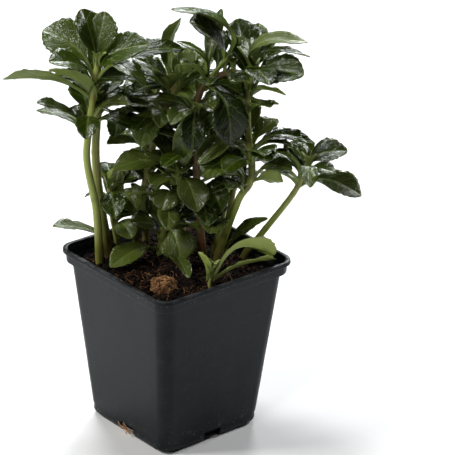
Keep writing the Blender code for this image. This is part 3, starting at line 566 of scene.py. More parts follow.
class Signal:
    """A number that changes over a surface: a node's socket, on which Python's operators add Math nodes."""

    def __init__(self, paint: "Paint", socket: Socket) -> None:
        """Wraps a socket of a material that is being painted."""
        self.paint = paint
        self.socket = socket

    def math(self, operation: str, *others: "Signal | float", clamp: bool = False) -> "Signal":
        """The result of one Math node.

        Args:
            operation: The node's operation.
            others: The operation's further values.
            clamp: True to keep the result from 0 to 1.

        Returns:
            The node's result.
        """
        settings = {"operation": operation, "use_clamp": clamp}
        return self.paint.signal("ShaderNodeMath", settings, dict(enumerate((self, *others))))

    def __add__(self, other: "Signal | float") -> "Signal":
        """This plus another."""
        return self.math("ADD", other)

    __radd__ = __add__

    def __sub__(self, other: "Signal | float") -> "Signal":
        """This less another."""
        return self.math("SUBTRACT", other)

    def __rsub__(self, other: float) -> "Signal":
        """A number less this."""
        return self * -1.0 + other

    def __mul__(self, other: "Signal | float") -> "Signal":
        """This times another."""
        return self.math("MULTIPLY", other)

    __rmul__ = __mul__

    def __truediv__(self, other: "Signal | float") -> "Signal":
        """This over another."""
        return self.math("DIVIDE", other)

    def __abs__(self) -> "Signal":
        """This without its sign."""
        return self.math("ABSOLUTE")

    def step(self, low: float, high: float) -> "Signal":
        """A smooth step between two values.

        Args:
            low: Value up to which the step is 0.
            high: Value from which it is 1.

        Returns:
            The step.
        """
        settings = {"interpolation_type": "SMOOTHSTEP"}
        values = {"Value": self, "From Min": low, "From Max": high, "To Min": 0.0, "To Max": 1.0}
        return self.paint.signal("ShaderNodeMapRange", settings, values)


class Paint:
    """A material in the making, whose nodes end in one Principled shader."""

    def __init__(self, name: str) -> None:
        """Starts a material with a bare Principled shader.

        Args:
            name: The material's name.
        """
        self.material = bpy.data.materials.new(name)
        self.material.use_nodes = True
        self.tree = self.material.node_tree
        self.shader = self.tree.nodes["Principled BSDF"]

    def fill(self, socket: Socket, value: object) -> None:
        """Links a signal or a socket to a socket, or sets a plain value on it.

        Args:
            socket: Socket of a node.
            value: A signal, another socket or a plain value.
        """
        if isinstance(value, Signal):
            self.tree.links.new(value.socket, socket)
        elif isinstance(value, Socket):
            self.tree.links.new(value, socket)
        elif isinstance(value, tuple) and len(value) == 3 and socket.type == "RGBA":
            socket.default_value = (*value, 1.0)
        else:
            socket.default_value = value

    def node(self, kind: str, settings: dict[str, object], inputs: dict[object, object]) -> bpy.types.Node:
        """Adds a node.

        Args:
            kind: The node's type.
            settings: Its settings, which are made first. A ramp's stops are pairs of a place and a colour.
            inputs: Values or links of its sockets, by name or by index.

        Returns:
            The new node.
        """
        node = self.tree.nodes.new(kind)
        for name, value in settings.items():
            if name == "stops":
                ramp = node.color_ramp.elements
                for place, _ in value[1:-1]:
                    ramp.new(place)
                for stop, (place, colour) in zip(ramp, value):
                    stop.position = place
                    stop.color = (*colour, 1.0)
            else:
                setattr(node, name, value)
        for name, value in inputs.items():
            self.fill(node.inputs[name], value)
        return node

    def signal(self, kind: str, settings: dict[str, object], inputs: dict[object, object]) -> Signal:
        """Adds a node and wraps its first output."""
        return Signal(self, self.node(kind, settings, inputs).outputs[0])

    def place(self) -> Socket:
        """Object coordinates, in metres."""
        return self.node("ShaderNodeTexCoord", {}, {}).outputs["Object"]

    def parts(self, vector: Socket) -> tuple[Signal, Signal, Signal]:
        """The three numbers of a vector."""
        node = self.node("ShaderNodeSeparateXYZ", {}, {0: vector})
        return tuple(Signal(self, output) for output in node.outputs)

    def attribute(self, name: str) -> tuple[Signal, Signal, Signal]:
        """The three numbers of one of the mesh's own attributes."""
        return self.parts(self.node("ShaderNodeAttribute", {"attribute_name": name}, {}).outputs["Vector"])

    def vector(self, x: object, y: object, z: object) -> Socket:
        """A vector of three signals or numbers."""
        return self.node("ShaderNodeCombineXYZ", {}, {0: x, 1: y, 2: z}).outputs[0]

    def noise(self, place: Socket, scale: float, detail: float = 2.0, roughness: float = 0.5) -> Signal:
        """Noise from 0 to 1, with its mean near a half, over places scaled up."""
        inputs = {"Vector": place, "Scale": scale, "Detail": detail, "Roughness": roughness}
        return self.signal("ShaderNodeTexNoise", {}, inputs)

    def cell_walls(self, place: Socket, scale: float) -> Signal:
        """Distance to the nearest wall in a pattern of cells."""
        settings = {"feature": "DISTANCE_TO_EDGE"}
        return self.signal("ShaderNodeTexVoronoi", settings, {"Vector": place, "Scale": scale})

    def mix(self, share: Signal | float, low: object, high: object) -> Socket:
        """A colour between two others."""
        return self.node("ShaderNodeMix", {"data_type": "RGBA"}, {0: share, 6: low, 7: high}).outputs[2]

    def ramp(self, value: Signal, *stops: tuple[float, Colour]) -> Socket:
        """A colour from a ramp."""
        return self.node("ShaderNodeValToRGB", {"stops": stops}, {0: value}).outputs[0]

    def bump(self, height: Signal, distance: float, strength: float = 1.0) -> None:
        """Bends the surface's normal by a relief.

        Args:
            height: The relief, from 0 to about 1.
            distance: What a height of 1 stands for, in metres.
            strength: Share of the relief that shows.
        """
        inputs = {"Height": height, "Distance": distance, "Strength": strength}
        normal = self.node("ShaderNodeBump", {}, inputs).outputs[0]
        self.fill(self.shader.inputs["Normal"], normal)

    def wear(self, **inputs: object) -> None:
        """Sets or links the shader's sockets, whose names are given with _ for a space."""
        for name, value in inputs.items():
            self.fill(self.shader.inputs[name.replace("_", " ")], value)


@dataclass(frozen=True)
class PotPlastic:
    """Satin black plastic, faintly blue, with dust, fine scuffs and painted highlights on a rim paler from
    wear.
    """

    base: Colour = (0.0050, 0.0064, 0.0082)
    dust: Colour = (0.030, 0.034, 0.037)
    # Pale grey for wear, grit and the painted highlight lines
    worn_and_highlight: Colour = (0.085, 0.09, 0.095)
    streak_stretch: Place = (1.0, 1.0, 0.22)
    roughness: float = 0.34
    specular: float = 0.16

    def material(self) -> Material:
        """Makes the material.

        Returns:
            The material.
        """
        paint = Paint("black_plastic")
        place = paint.place()
        height = paint.parts(place)[2]
        scale = {"Vector": place, "Scale": self.streak_stretch}
        streaks = paint.noise(paint.node("ShaderNodeMapping", {}, scale).outputs[0], 420.0, 3.0)
        cloud = paint.noise(place, 42.0, 3.0, 0.6)
        specks = paint.noise(place, 900.0, 1.0).step(0.68, 0.78)
        smudges = paint.noise(place, 110.0, 3.0, 0.7).step(0.58, 0.74)
        dusty = cloud.step(0.42, 0.75) * 0.5 + specks * 0.5 + streaks.step(0.5, 0.8) * 0.25 + smudges * 0.3
        # Painted highlights: pale lines at the rim's top, the lip and the band's lower edge, with wear on the
        # rim's top
        rim = height.step(POT_HEIGHT - 1.0 * MM, POT_HEIGHT - 0.1 * MM)
        lip_highlight = 1.0 - abs(height - (POT_HEIGHT - LIP_HEIGHT)).step(0.0, 0.5 * MM)
        band_highlight = 1.0 - abs(height - (POT_HEIGHT - RIM_HEIGHT)).step(0.0, 0.6 * MM)
        crumbs = paint.noise(place, 620.0, 2.0, 0.7)
        low = 1.0 - height.step(1.0 * MM, 16.0 * MM)
        high = height.step(POT_HEIGHT - RIM_HEIGHT - 6.0 * MM, POT_HEIGHT)
        grit = crumbs.step(0.62, 0.68) * (low * 0.9 + high * 0.7 + 0.12)
        # The pale colour marks both the painted highlight lines and real grit
        edge = (rim * 0.5 + lip_highlight * 0.35 + band_highlight * 0.4) * paint.noise(place, 160.0, 2.0).step(0.3, 0.7)
        edge = (edge + grit).math("MINIMUM", 1.0)
        colour = paint.mix(edge, paint.mix(dusty * 0.6, self.base, self.dust), self.worn_and_highlight)
        roughness = self.roughness + dusty * 0.2 + cloud * 0.1
        paint.wear(Base_Color=colour, Roughness=roughness, Specular_IOR_Level=self.specular)
        grain = paint.noise(place, 1900.0, 2.0) * 0.35 + streaks * 0.4 + paint.noise(place, 60.0, 1.0) * 3.0
        paint.bump(grain, 0.05 * MM, 0.6)
        return paint.material


@dataclass(frozen=True)
class Peat:
    """Moist peat and bark fines: near black to reddish brown, from grain to grain."""

    dark: Colour = (0.0022, 0.0013, 0.0010)
    middle: Colour = (0.0062, 0.0026, 0.0016)
    light: Colour = (0.052, 0.021, 0.009)
    specular: float = 0.15

    def material(self) -> Material:
        """Makes the material, whose tint's first number picks a grain's tone.

        Returns:
            The material.
        """
        paint = Paint("soil")
        place = paint.place()
        tone, _, _ = paint.attribute("tints")
        fine = paint.noise(place, 1400.0, 3.0, 0.65)
        coarse = paint.noise(place, 260.0, 2.0)
        value = tone * 0.62 + fine * 0.26 + coarse * 0.12
        colour = paint.ramp(value, (0.18, self.dark), (0.52, self.middle), (0.92, self.light))
        paint.wear(Base_Color=colour, Roughness=0.78 + fine * 0.2, Specular_IOR_Level=self.specular)
        paint.bump(fine, 0.25 * MM)
        return paint.material


@dataclass(frozen=True)
class CoirFibre:
    """Dry coir: orange-tan fibres, with darker ones among them."""

    dark: Colour = (0.055, 0.022, 0.008)
    middle: Colour = (0.27, 0.12, 0.038)
    light: Colour = (0.50, 0.28, 0.11)

    def material(self) -> Material:
        """Makes the material, whose tint's first number picks a fibre's tone.

        Returns:
            The material.
        """
        paint = Paint("coir")
        place = paint.place()
        tone, _, _ = paint.attribute("tints")
        fine = paint.noise(place, 1600.0, 2.0)
        value = tone * 0.8 + fine * 0.25
        colour = paint.ramp(value, (0.1, self.dark), (0.5, self.middle), (0.95, self.light))
        paint.wear(Base_Color=colour, Roughness=0.7 + fine * 0.2)
        paint.bump(fine, 0.08 * MM)
        return paint.material


@dataclass(frozen=True)
class LeafSkin:
    """Leathery evergreen leaf: glossy dark green above with pale veins, dull pale olive below."""

    deep: Colour = (0.0046, 0.0112, 0.0006)
    green: Colour = (0.038, 0.066, 0.0012)
    fresh: Colour = (0.38, 0.45, 0.11)
    vein: Colour = (0.17, 0.23, 0.055)
    under: Colour = (0.20, 0.26, 0.045)
    under_dark: Colour = (0.10, 0.145, 0.022)
    specular: float = 0.42
    under_roughness: float = 0.42

    def material(self) -> Material:
        """Makes the material.

        The marks are the distance along the blade and across it from the midrib, in millimetres, and the
        blade's half width there. The tints are the leaf's own random number, 1 on the underside, and the
        leaf's youth.

        Returns:
            The material.
        """
        paint = Paint("leaf_green")
        along, across, half = paint.attribute("marks")
        chance, below, youth = paint.attribute("tints")
        aside = abs(across)
        flat = paint.vector(along, across, chance * 40.0)
        wobble = paint.noise(flat, 0.25, 2.0)
        rib = 1.0 - aside.step(0.25, 0.85)
        phase = (along - aside * VEIN_SLANT + (wobble - 0.5) * 2.2) / VEIN_SPACING
        from_vein = abs(phase.math("FRACT") - 0.5)
        reach = 1.0 - (aside / (half + 0.5)).step(0.45, 1.0) * 0.85
        side_veins = (1.0 - (from_vein * VEIN_SPACING).step(0.08, 0.42)) * reach * along.step(1.0, 6.0)
        net = 1.0 - paint.cell_walls(flat, 0.75).step(0.02, 0.16)
        veins = rib.math("MAXIMUM", side_veins * 0.55)
        patch = paint.noise(flat, 0.11, 3.0, 0.55)
        tone = (chance * 0.8 + patch * 0.6 - 0.25).math("MAXIMUM", 0.0, clamp=True)
        top = paint.mix(youth, paint.mix(tone, self.deep, self.green), self.fresh)
        rim = (aside / half).step(0.88, 1.02) * 0.35
        pale = rib * (0.65 - (along / 40.0).math("MINIMUM", 0.4)) + side_veins * 0.26
        top = paint.mix((pale + net * 0.05 + rim * 0.2).math("MINIMUM", 1.0), top, self.vein)
        back = paint.mix(patch.step(0.3, 0.7) * 0.7 + chance * 0.3, self.under_dark, self.under)
        back = paint.mix(youth * 0.8, back, self.fresh)
        back = paint.mix(veins * 0.7 + net * 0.16, back, self.vein)
        gloss = 0.07 + patch * 0.1 + veins * 0.08 + chance * 0.05
        roughness = gloss + below * (self.under_roughness - gloss)
        colour = paint.mix(below, top, back)
        paint.wear(Base_Color=colour, Roughness=roughness, Specular_IOR_Level=self.specular)
        pucker = paint.noise(flat, 0.75, 2.0, 0.6)
        grain = paint.noise(flat, 2.6, 2.0)
        streak = (along - aside * 1.7 + (wobble - 0.5) * 3.0 + (pucker - 0.5) * 1.4) / RIDGE_SPACING
        ridges = abs(streak.math("FRACT") - 0.5) * aside.step(0.5, 2.0)
        relief = from_vein * reach * 0.8 - side_veins * 0.4 - net * 0.12 + grain * 0.05
        relief = relief - rib * 0.5 + pucker * 0.6 + ridges * 0.9
        paint.bump(relief * (1.0 - below * 1.7), 0.3 * MM, 0.9)
        return paint.material


@dataclass(frozen=True)
class StemSkin:
    """Smooth fleshy stem, yellow-green with darker streaks, brown at its foot and its old leaf scars."""

    green: Colour = (0.33, 0.39, 0.080)
    shade: Colour = (0.16, 0.21, 0.032)
    red: Colour = (0.135, 0.060, 0.022)
    scar: Colour = (0.20, 0.13, 0.06)

    def material(self) -> Material:
        """Makes the material.

        The marks are the share of the height, the sine of the turn and the scars. The tints are the redness
        and the stem's own random number.

        Returns:
            The material.
        """
        paint = Paint("stem_green")
        share, turn, scar = paint.attribute("marks")
        redness, chance, _ = paint.attribute("tints")
        lines = paint.noise(paint.vector(turn * 7.0, share * 6.0, chance * 30.0), 1.0, 3.0)
        spots = paint.noise(paint.place(), 700.0, 2.0).step(0.62, 0.72)
        colour = paint.mix(lines.step(0.35, 0.65) * 0.55, self.green, self.shade)
        foot = 1.0 - share.step(0.0, 0.32)
        reds = (redness * (lines * 0.7 + 0.55) + foot * 0.35 + spots * 0.15).math("MAXIMUM", 0.0, clamp=True)
        colour = paint.mix(reds, colour, self.red)
        colour = paint.mix(scar * 0.6, colour, self.scar)
        paint.wear(Base_Color=colour, Roughness=0.36 + lines * 0.16 + scar * 0.2)
        paint.bump(lines * 0.6 + spots * 0.2, 0.12 * MM, 0.7)
        return paint.material


@dataclass(frozen=True)
class FloorPaint:
    """A plain pale floor."""

    colour: Colour = (0.80, 0.80, 0.80)
    roughness: float = 0.9
    specular: float = 0.1

    def material(self) -> Material:
        """Makes the material.

        Returns:
            The material.
        """
        paint = Paint("floor")
        paint.wear(Base_Color=self.colour, Roughness=self.roughness, Specular_IOR_Level=self.specular)
        return paint.material


def square_rings(halves: Array, corners: Array, heights: Array, corner_steps: int, side_steps: int) -> Array:
    """Rings of a square with round corners.

    A corner is a quarter circle round (half - corner, half - corner), and a side is divided evenly between
    corners.

    Args:
        halves: Half width of each ring.
        corners: Corner radius of each ring.
        heights: Height of each ring.
        corner_steps: Steps round a corner.
        side_steps: Steps along a side.

    Returns:
        Points of shape (rings, points, 3).
    """
    angle = np.linspace(0, pi / 2, corner_steps + 1)
    centre = (halves - corners)[:, None]
    x = centre + corners[:, None] * np.cos(angle)
    y = centre + corners[:, None] * np.sin(angle)
    share = np.linspace(0, 1, side_steps, endpoint=False)[1:]
    x = np.concatenate([x, x[:, -1:] * (1 - share) - centre * share], axis=1)
    y = np.concatenate([y, np.repeat(y[:, -1:], len(share), axis=1)], axis=1)
    flat_x = np.concatenate([x, -y, -x, y], axis=1)
    flat_y = np.concatenate([y, x, -y, -x], axis=1)
    return np.stack([flat_x, flat_y, np.repeat(heights[:, None], flat_x.shape[1], axis=1)], axis=-1)


def body_half(height: float) -> float:
    """Half width of the pot's outside between its heel and its shoulder."""
    share = (height - HEEL_HEIGHT) / (POT_HEIGHT - RIM_HEIGHT - HEEL_HEIGHT)
    return HEEL_HALF + (SHOULDER_HALF - HEEL_HALF) * share


def corner_at(height: float | Array) -> float | Array:
    """Corner radius of the pot's outside, which grows from the foot to the rim."""
    return FOOT_CORNER + (RIM_CORNER - FOOT_CORNER) * height / POT_HEIGHT


@dataclass
class Pot:
    """The thin-walled nursery pot, with drain slots in its sides and notches under its corners."""

    corner_steps: int = 14
    side_steps: int = 10
    bow: float = 0.25 * MM
    cut_drop: float = 1.0 * MM
    sharp_angle: float = 38.0
    finish: PotPlastic = field(default_factory=PotPlastic)

    def profile(self) -> tuple[Array, Array, Array]:
        """The pot's section, down the outside and up the inside.

        Returns:
            Half widths of the rings, their heights, and how far their corners' radii are less than the
            outside's.
        """
        under_rim = POT_HEIGHT - RIM_HEIGHT
        lip = POT_HEIGHT - LIP_HEIGHT
        curl = 0.5 * (FOOT_HALF + HEEL_HALF) + 0.5 * MM
        sides = [(body_half(z), z) for z in np.linspace(HEEL_HEIGHT, under_rim - 0.3 * MM, 14)]
        outside = [(FOOT_HALF - 1.2 * MM, 0.0), (FOOT_HALF - 0.5 * MM, 0.1 * MM), (FOOT_HALF, 0.6 * MM),
                   (FOOT_HALF + 0.9 * MM, 2.0 * MM), (curl, 3.5 * MM), (HEEL_HALF - 0.5 * MM, 5.6 * MM),
                   *sides, (BAND_HALF - 0.4 * MM, under_rim), (BAND_HALF - 0.1 * MM, under_rim + 0.1 * MM),
                   (BAND_HALF, under_rim + 0.5 * MM), (BAND_HALF + 0.1 * MM, under_rim + 2.5 * MM),
                   (BAND_HALF + 0.2 * MM, lip - 0.3 * MM), (BAND_HALF + 0.3 * MM, lip),
                   (RIM_HALF - 0.2 * MM, lip + 0.1 * MM), (RIM_HALF, lip + 0.3 * MM),
                   (RIM_HALF, POT_HEIGHT - 0.5 * MM), (RIM_HALF - 0.15 * MM, POT_HEIGHT - 0.15 * MM),
                   (RIM_HALF - 0.5 * MM, POT_HEIGHT)]
        inside = [(BAND_HALF - 0.4 * MM, POT_HEIGHT), (BAND_HALF - 0.7 * MM, POT_HEIGHT - 0.2 * MM),
                  (BAND_HALF - WALL, lip), (BAND_HALF - WALL - 0.2 * MM, under_rim + WALL),
                  (SHOULDER_HALF - WALL + 0.1 * MM, under_rim + 0.4 * MM),
                  (SHOULDER_HALF - WALL, under_rim - 0.2 * MM), (HEEL_HALF - WALL, HEEL_HEIGHT),
                  (FOOT_HALF - WALL, FLOOR + 1.5 * MM), (FOOT_HALF - 2.2 * MM, FLOOR)]
        halves, heights = np.array(outside + inside, float).T
        return halves, heights, np.repeat([0.0, WALL], [len(outside), len(inside)])

    def build(self) -> Object:
        """Makes the pot.

        Each side bows in a little by a product of two half sines, one along the side and one up it.

        Returns:
            The pot's object.
        """
        halves, heights, depths = self.profile()
        corners = corner_at(heights) - depths
        rings = square_rings(halves, corners, heights, self.corner_steps, self.side_steps)
        up = np.sin(pi * np.clip(heights / (POT_HEIGHT - RIM_HEIGHT), 0, 1)) * self.bow
        small, big = np.sort(np.abs(rings[..., :2]), axis=-1).transpose(2, 0, 1)
        middle = np.cos(np.clip(small / big, 0, 1) * pi / 2)
        rings[..., :2] *= (1 - middle * up[:, None] / big)[..., None]
        form = Form()
        form.add(rings[None], np.array([[0, 0, 0.0]]), np.array([[0, 0, FLOOR]]))
        pot = form.build("pot_shell", [self.finish.material()])
        self.cut(pot)
        pot.data.set_sharp_from_angle(angle=radians(self.sharp_angle))
        return pot

    def cut(self, pot: Object) -> None:
        """Cuts the drain slots and the corner notches with boxes, and applies the cuts.

        Args:
            pot: The pot's shell.
        """
        cutters = bpy.data.collections.new("pot_cutters")
        bpy.context.scene.collection.children.link(cutters)
        corner_reach = FOOT_HALF * 2 ** 0.5 - FOOT_CORNER * CORNER_SHORTFALL
        for side in range(4):
            turn = side * pi / 2
            self.cutter(cutters, SLOT, FOOT_HALF, turn)
            self.cutter(cutters, NOTCH, corner_reach, turn + pi / 4)
        boolean = pot.modifiers.new("cuts", "BOOLEAN")
        boolean.operation = "DIFFERENCE"
        boolean.solver = "EXACT"
        boolean.operand_type = "COLLECTION"
        boolean.collection = cutters
        evaluated = pot.evaluated_get(bpy.context.evaluated_depsgraph_get())
        mesh = bpy.data.meshes.new_from_object(evaluated)
        pot.modifiers.clear()
        pot.data = mesh
        for cutter in list(cutters.objects):
            bpy.data.objects.remove(cutter, do_unlink=True)
        bpy.data.collections.remove(cutters)

    def cutter(self, group: bpy.types.Collection, size: Place, reach: float, turn: float) -> None:
        """Adds a box to the cutters, which reaches a little below the pot's foot.

        Args:
            group: The cutters.
            size: The box's depth, width and height.
            reach: Distance of its centre from the pot's middle.
            turn: Its heading, in radians.
        """
        centre = Vector((cos(turn), sin(turn), 0)) * reach + UP * (size[2] / 2 - self.cut_drop)
        corners = np.array(list(product((-0.5, 0.5), repeat=3))) * np.array(size)
        turned = corners @ np.array(Matrix.Rotation(turn, 3, "Z")).T + np.array(centre)
        faces = [(0, 1, 3, 2), (4, 6, 7, 5), (0, 4, 5, 1), (2, 3, 7, 6), (0, 2, 6, 4), (1, 5, 7, 3)]
        mesh = bpy.data.meshes.new("cutter")
        mesh.from_pydata(turned.tolist(), [], faces)
        group.objects.link(bpy.data.objects.new("cutter", mesh))


def soil_height(x: Array, y: Array) -> Array:
    """Height of the soil: a few crossing waves, as in its solid.

    Args:
        x: Places along the first axis.
        y: Places along the second.

    Returns:
        The height at each place.
    """
    px, py = x / MM, y / MM
    waves = np.sin(0.31 * px + 0.23 * py) + np.sin(0.41 * py - 0.17 * px + 1.3)
    waves = waves + 0.7 * np.sin(0.83 * px + 2.1) * np.sin(0.71 * py)
    return SOIL_TOP + SOIL_RELIEF * waves / 2


@dataclass
class Soil:
    """The soil: a crumbly bed, the grains that lie loose on it and short fibres of coir."""

    rings: int = 58
    corner_steps: int = 10
    side_steps: int = 64
    crumbs: tuple[Place, ...] = ((0.55, 5.0, 1), (0.4, 2.2, 2), (0.3, 1.1, 3))
    grains: int = 2600
    grain_rows: int = 4
    grain_sides: int = 6
    grain_margin: float = 2.5 * MM
    grain_corner: float = 9 * MM
    grain_sizes: tuple[float, float] = (0.25, 1.5)
    fibres: int = 260
    fibre_steps: int = 8
    fibre_sides: int = 4
    seed: int = 5
    finish: Peat = field(default_factory=Peat)
    fibre_finish: CoirFibre = field(default_factory=CoirFibre)

    def lie(self, x: Array, y: Array) -> Array:
        """Height of the crumbly bed: the soil's waves with three noises, each with its height and size.

        Args:
            x: Places along the first axis.
            y: Places along the second.

        Returns:
            The height at each place.
        """
        flat = np.stack([x, y, np.zeros_like(x)], axis=-1)
        rough = sum(height * value_noise(flat, size * MM, seed) for height, size, seed in self.crumbs)
        return soil_height(x, y) + rough * MM

    def build(self) -> Object:
        """Makes the bed with its grains.

        The bed's top is the pot's inner outline, drawn together in even steps and laid on the crumbly height.

        Returns:
            The bed's object.
        """
        edge = body_half(SOIL_TOP) - WALL - 1.5 * GAP
        heights = np.array([FLOOR + GAP, HEEL_HEIGHT + GAP, SOIL_TOP - 6 * MM, SOIL_TOP])
        halves = np.array([FOOT_HALF - 2.4 * MM, HEEL_HALF - WALL - GAP, edge - 0.5 * MM, edge])
        sides = square_rings(halves, corner_at(heights) - WALL, heights, self.corner_steps, self.side_steps)
        bed = sides[-1:] * np.linspace(1, 0, self.rings, endpoint=False)[:, None, None]
        bed[..., 2] = self.lie(bed[..., 0], bed[..., 1])
        rings = np.concatenate([sides[:-1], bed])[None]
        top = [0, 0, self.lie(np.zeros(1), np.zeros(1))[0]]
        tone = value_noise(rings, 0.9 * MM, 4)[..., None] * 0.4 + 0.32
        form = Form()
        form.add(rings, np.array([[0, 0, FLOOR + GAP]]), np.array([top]), np.repeat(tone, 3, axis=-1))
        self.scatter(form, edge)
        return form.build("soil_bed", [self.finish.material()])

    def scatter(self, form: Form, edge: float) -> None:
        """Adds loose grains: lumpy balls, whose radius is shaken by noise, flattened and turned.

        Args:
            form: The mesh in the making.
            edge: Half width of the soil at its surface.
        """
        draw = np.random.default_rng(self.seed)
        reach = edge - self.grain_margin
        place = draw.uniform(-reach, reach, (self.grains, 2))
        tuft = front(*TUFT_PLACE, 0)
        clear = np.hypot(place[:, 0] - tuft.x, place[:, 1] - tuft.y) > TUFT_SIZE[1] * 0.9
        place = place[clear & (np.abs(place).sum(axis=1) < 2 * edge - self.grain_corner)]
        count = len(place)
        radius = np.clip(draw.lognormal(-0.55, 0.42, count), *self.grain_sizes) * MM
        turn = np.linspace(0, 2 * pi, self.grain_sides, endpoint=False)
        shape = ball(np.linspace(0.16, 0.84, self.grain_rows) * pi, turn)
        lumps = draw.uniform(0.72, 1.2, (count, self.grain_rows, self.grain_sides, 1))
        shape = shape[None] * lumps * radius[:, None, None, None]
        shape = shape * draw.uniform(0.6, 1.25, (count, 1, 1, 3))
        spin = draw.uniform(0, 2 * pi, count)[:, None, None]
        x = shape[..., 0] * np.cos(spin) - shape[..., 2] * np.sin(spin)
        z = shape[..., 0] * np.sin(spin) + shape[..., 2] * np.cos(spin)
        height = self.lie(place[:, 0], place[:, 1]) + radius * 0.25
        centre = np.stack([place[:, 0], place[:, 1], height], axis=-1)
        rings = np.stack([x, shape[..., 1], z], axis=-1) + centre[:, None, None]
        tone = np.clip(draw.normal(0.5, 0.24, count), 0.05, 1.25)[:, None, None, None]
        start = rings[:, 0].mean(axis=1) * 1.5 - rings[:, 1].mean(axis=1) * 0.5
        end = rings[:, -1].mean(axis=1) * 1.5 - rings[:, -2].mean(axis=1) * 0.5
        form.add(rings, start, end, np.broadcast_to(tone, rings.shape))

    def litter(self) -> Object:
        """Makes the loose fibres: thin tubes that bend along the bed.

        Returns:
            The fibres' object.
        """
        draw = np.random.default_rng(self.seed + 1)
        steps, one = self.fibre_steps, (self.fibres, 1)
        edge = body_half(SOIL_TOP) - 5 * MM
        place = draw.uniform(-edge, edge, (*one, 2))
        heading = draw.uniform(0, 2 * pi, one) + np.linspace(-1, 1, steps) * draw.uniform(-1.2, 1.2, one)
        length = draw.uniform(2.0, 8.0, one) * MM / steps
        ahead = np.stack([np.cos(heading), np.sin(heading)], axis=-1)
        path = np.clip(np.cumsum(ahead * length[..., None], axis=1) + place, -edge, edge)
        lift = (0.35 + 0.5 * np.sin(np.linspace(0, pi, steps)) * draw.uniform(0, 1.4, one)) * MM
        z = self.lie(path[..., 0], path[..., 1]) + lift
        paths = np.concatenate([path, z[..., None]], axis=-1)
        radii = draw.uniform(0.08, 0.2, one) * MM
        form = Form()
        form.add_threads(paths, radii, self.fibre_sides, draw.uniform(0.0, 0.5, self.fibres))
        return form.build("soil_fibres", [self.fibre_finish.material()])


@dataclass
class CoirTuft:
    """The tuft of coarse coir: a lumpy core, painted dark as shade, wrapped in short bent fibres."""

    fibres: int = 620
    fibre_steps: int = 7
    fibre_sides: int = 4
    core_rows: int = 14
    core_sides: int = 36
    # Tone of the core: dark, as painted shade between the fibres
    core_shade_tone: float = 0.12
    seed: int = 9
    finish: CoirFibre = field(default_factory=CoirFibre)

    def build(self) -> Object:
        """Makes the tuft.

        The core is a dome whose radius is shaken by noise, and painted dark as the shade between the fibres.
        A fibre starts at a random point of the dome and follows a bent line over it, a little proud of the
        core.

        Returns:
            The tuft's object.
        """
        draw = np.random.default_rng(self.seed)
        size = np.array(TUFT_SIZE)
        centre = np.array(front(*TUFT_PLACE, 0)) + [0, 0, SOIL_TOP - TUFT_SEAT_DEPTH + GAP]
        turn = np.linspace(0, 2 * pi, self.core_sides, endpoint=False)
        core = ball(np.linspace(0.03, 0.5, self.core_rows)[::-1] * pi, turn) * size
        core *= 0.72 + 0.24 * value_noise(core, 2.2 * MM, 11)[..., None]
        core = core[None] + centre
        # The core's dark tone is painted shade, which shows between the fibres
        dark = same(core.shape[:3], self.core_shade_tone, 0, 0)
        form = Form()
        form.add(core, centre[None], core[:, -1].mean(axis=1), dark, dark)
        count = self.fibres
        height = draw.uniform(0.05, 0.98, count)
        turn = draw.uniform(0, 2 * pi, count)
        flat = np.sqrt(1 - height ** 2)
        normal = np.stack([flat * np.cos(turn), flat * np.sin(turn), height], axis=-1)
        heading = unit(np.cross(normal, unit(draw.normal(size=(count, 3)))))
        bend = np.cross(normal, heading) * draw.uniform(-0.5, 0.5, (count, 1))
        t = np.linspace(-0.5, 0.5, self.fibre_steps)[None, :, None]
        span = draw.uniform(0.25, 0.75, (count, 1, 1))
        way = unit(normal[:, None] + heading[:, None] * t * span + bend[:, None] * t * t * span * 4)
        way[..., 2] = np.abs(way[..., 2])
        lumps = 0.8 + 0.34 * value_noise(normal * size, 2.6 * MM, 12)[:, None, None]
        tilt = draw.normal(0, 0.16, (count, 1, 1)) * t
        paths = way * size * (lumps + 0.07 * np.cos(t * pi) + tilt) + centre
        radii = draw.uniform(0.14, 0.34, (count, 1)) * MM
        form.add_threads(paths, radii, self.fibre_sides, np.clip(draw.normal(0.45, 0.3, count), 0, 1))
        return form.build("coir_fibres", [self.finish.material()])


@dataclass
class SlotRoots:
    """Fine roots that poke out of the drain slot in the pot's left side."""

    count: int = 16
    steps: int = 9
    sides: int = 6
    seed: int = 21
    finish: CoirFibre = CoirFibre(middle=(0.42, 0.20, 0.10), light=(0.75, 0.50, 0.30))

    def build(self) -> Object:
        """Makes the roots: thin tubes that leave the slot and bend up, down or sideways over the side.

        Returns:
            The roots' object.
        """
        draw = np.random.default_rng(self.seed)
        one = (self.count, 1)
        t = np.linspace(0, 1, self.steps)[None]
        start = draw.uniform(-2.6, 2.6, one) * MM
        side = draw.uniform(-4.6, 4.6, one) * MM
        rise = draw.uniform(-0.8, 6.0, one) * MM
        out = draw.uniform(1.0, 3.2, one) * MM
        y = start + side * t ** 1.5 + 0.35 * MM * np.sin(t * 7 + side * 900)
        z = 1.7 * MM + rise * t ** 2 + 0.3 * MM * np.sin(t * 6)
        x = -FOOT_HALF + 1.5 * MM - out * (1 - (1 - t) ** 2) - z * 0.42
        paths = np.stack([x, y, np.maximum(z, 0.4 * MM)], axis=-1)
        radii = draw.uniform(0.2, 0.42, one) * MM * (1 - 0.6 * t)
        form = Form()
        form.add_threads(paths, radii, self.sides, draw.uniform(0.3, 1.0, self.count))
        return form.build("slot_roots", [self.finish.material()])


def half_width(share: Array) -> Array:
    """Half width of a blade, of 1 at its widest, at a share of its length from its base to its tip."""
    inside = np.clip(share, 0, 1)
    return np.maximum(np.sin(pi * inside ** BLADE_SWELL), 0) ** BLADE_FULLNESS


def to_u(share: Array | float) -> Array | float:
    """The share of a whole leaf, petiole and blade, at a share of its blade."""
    return PETIOLE_SHARE + share * (1 - PETIOLE_SHARE)


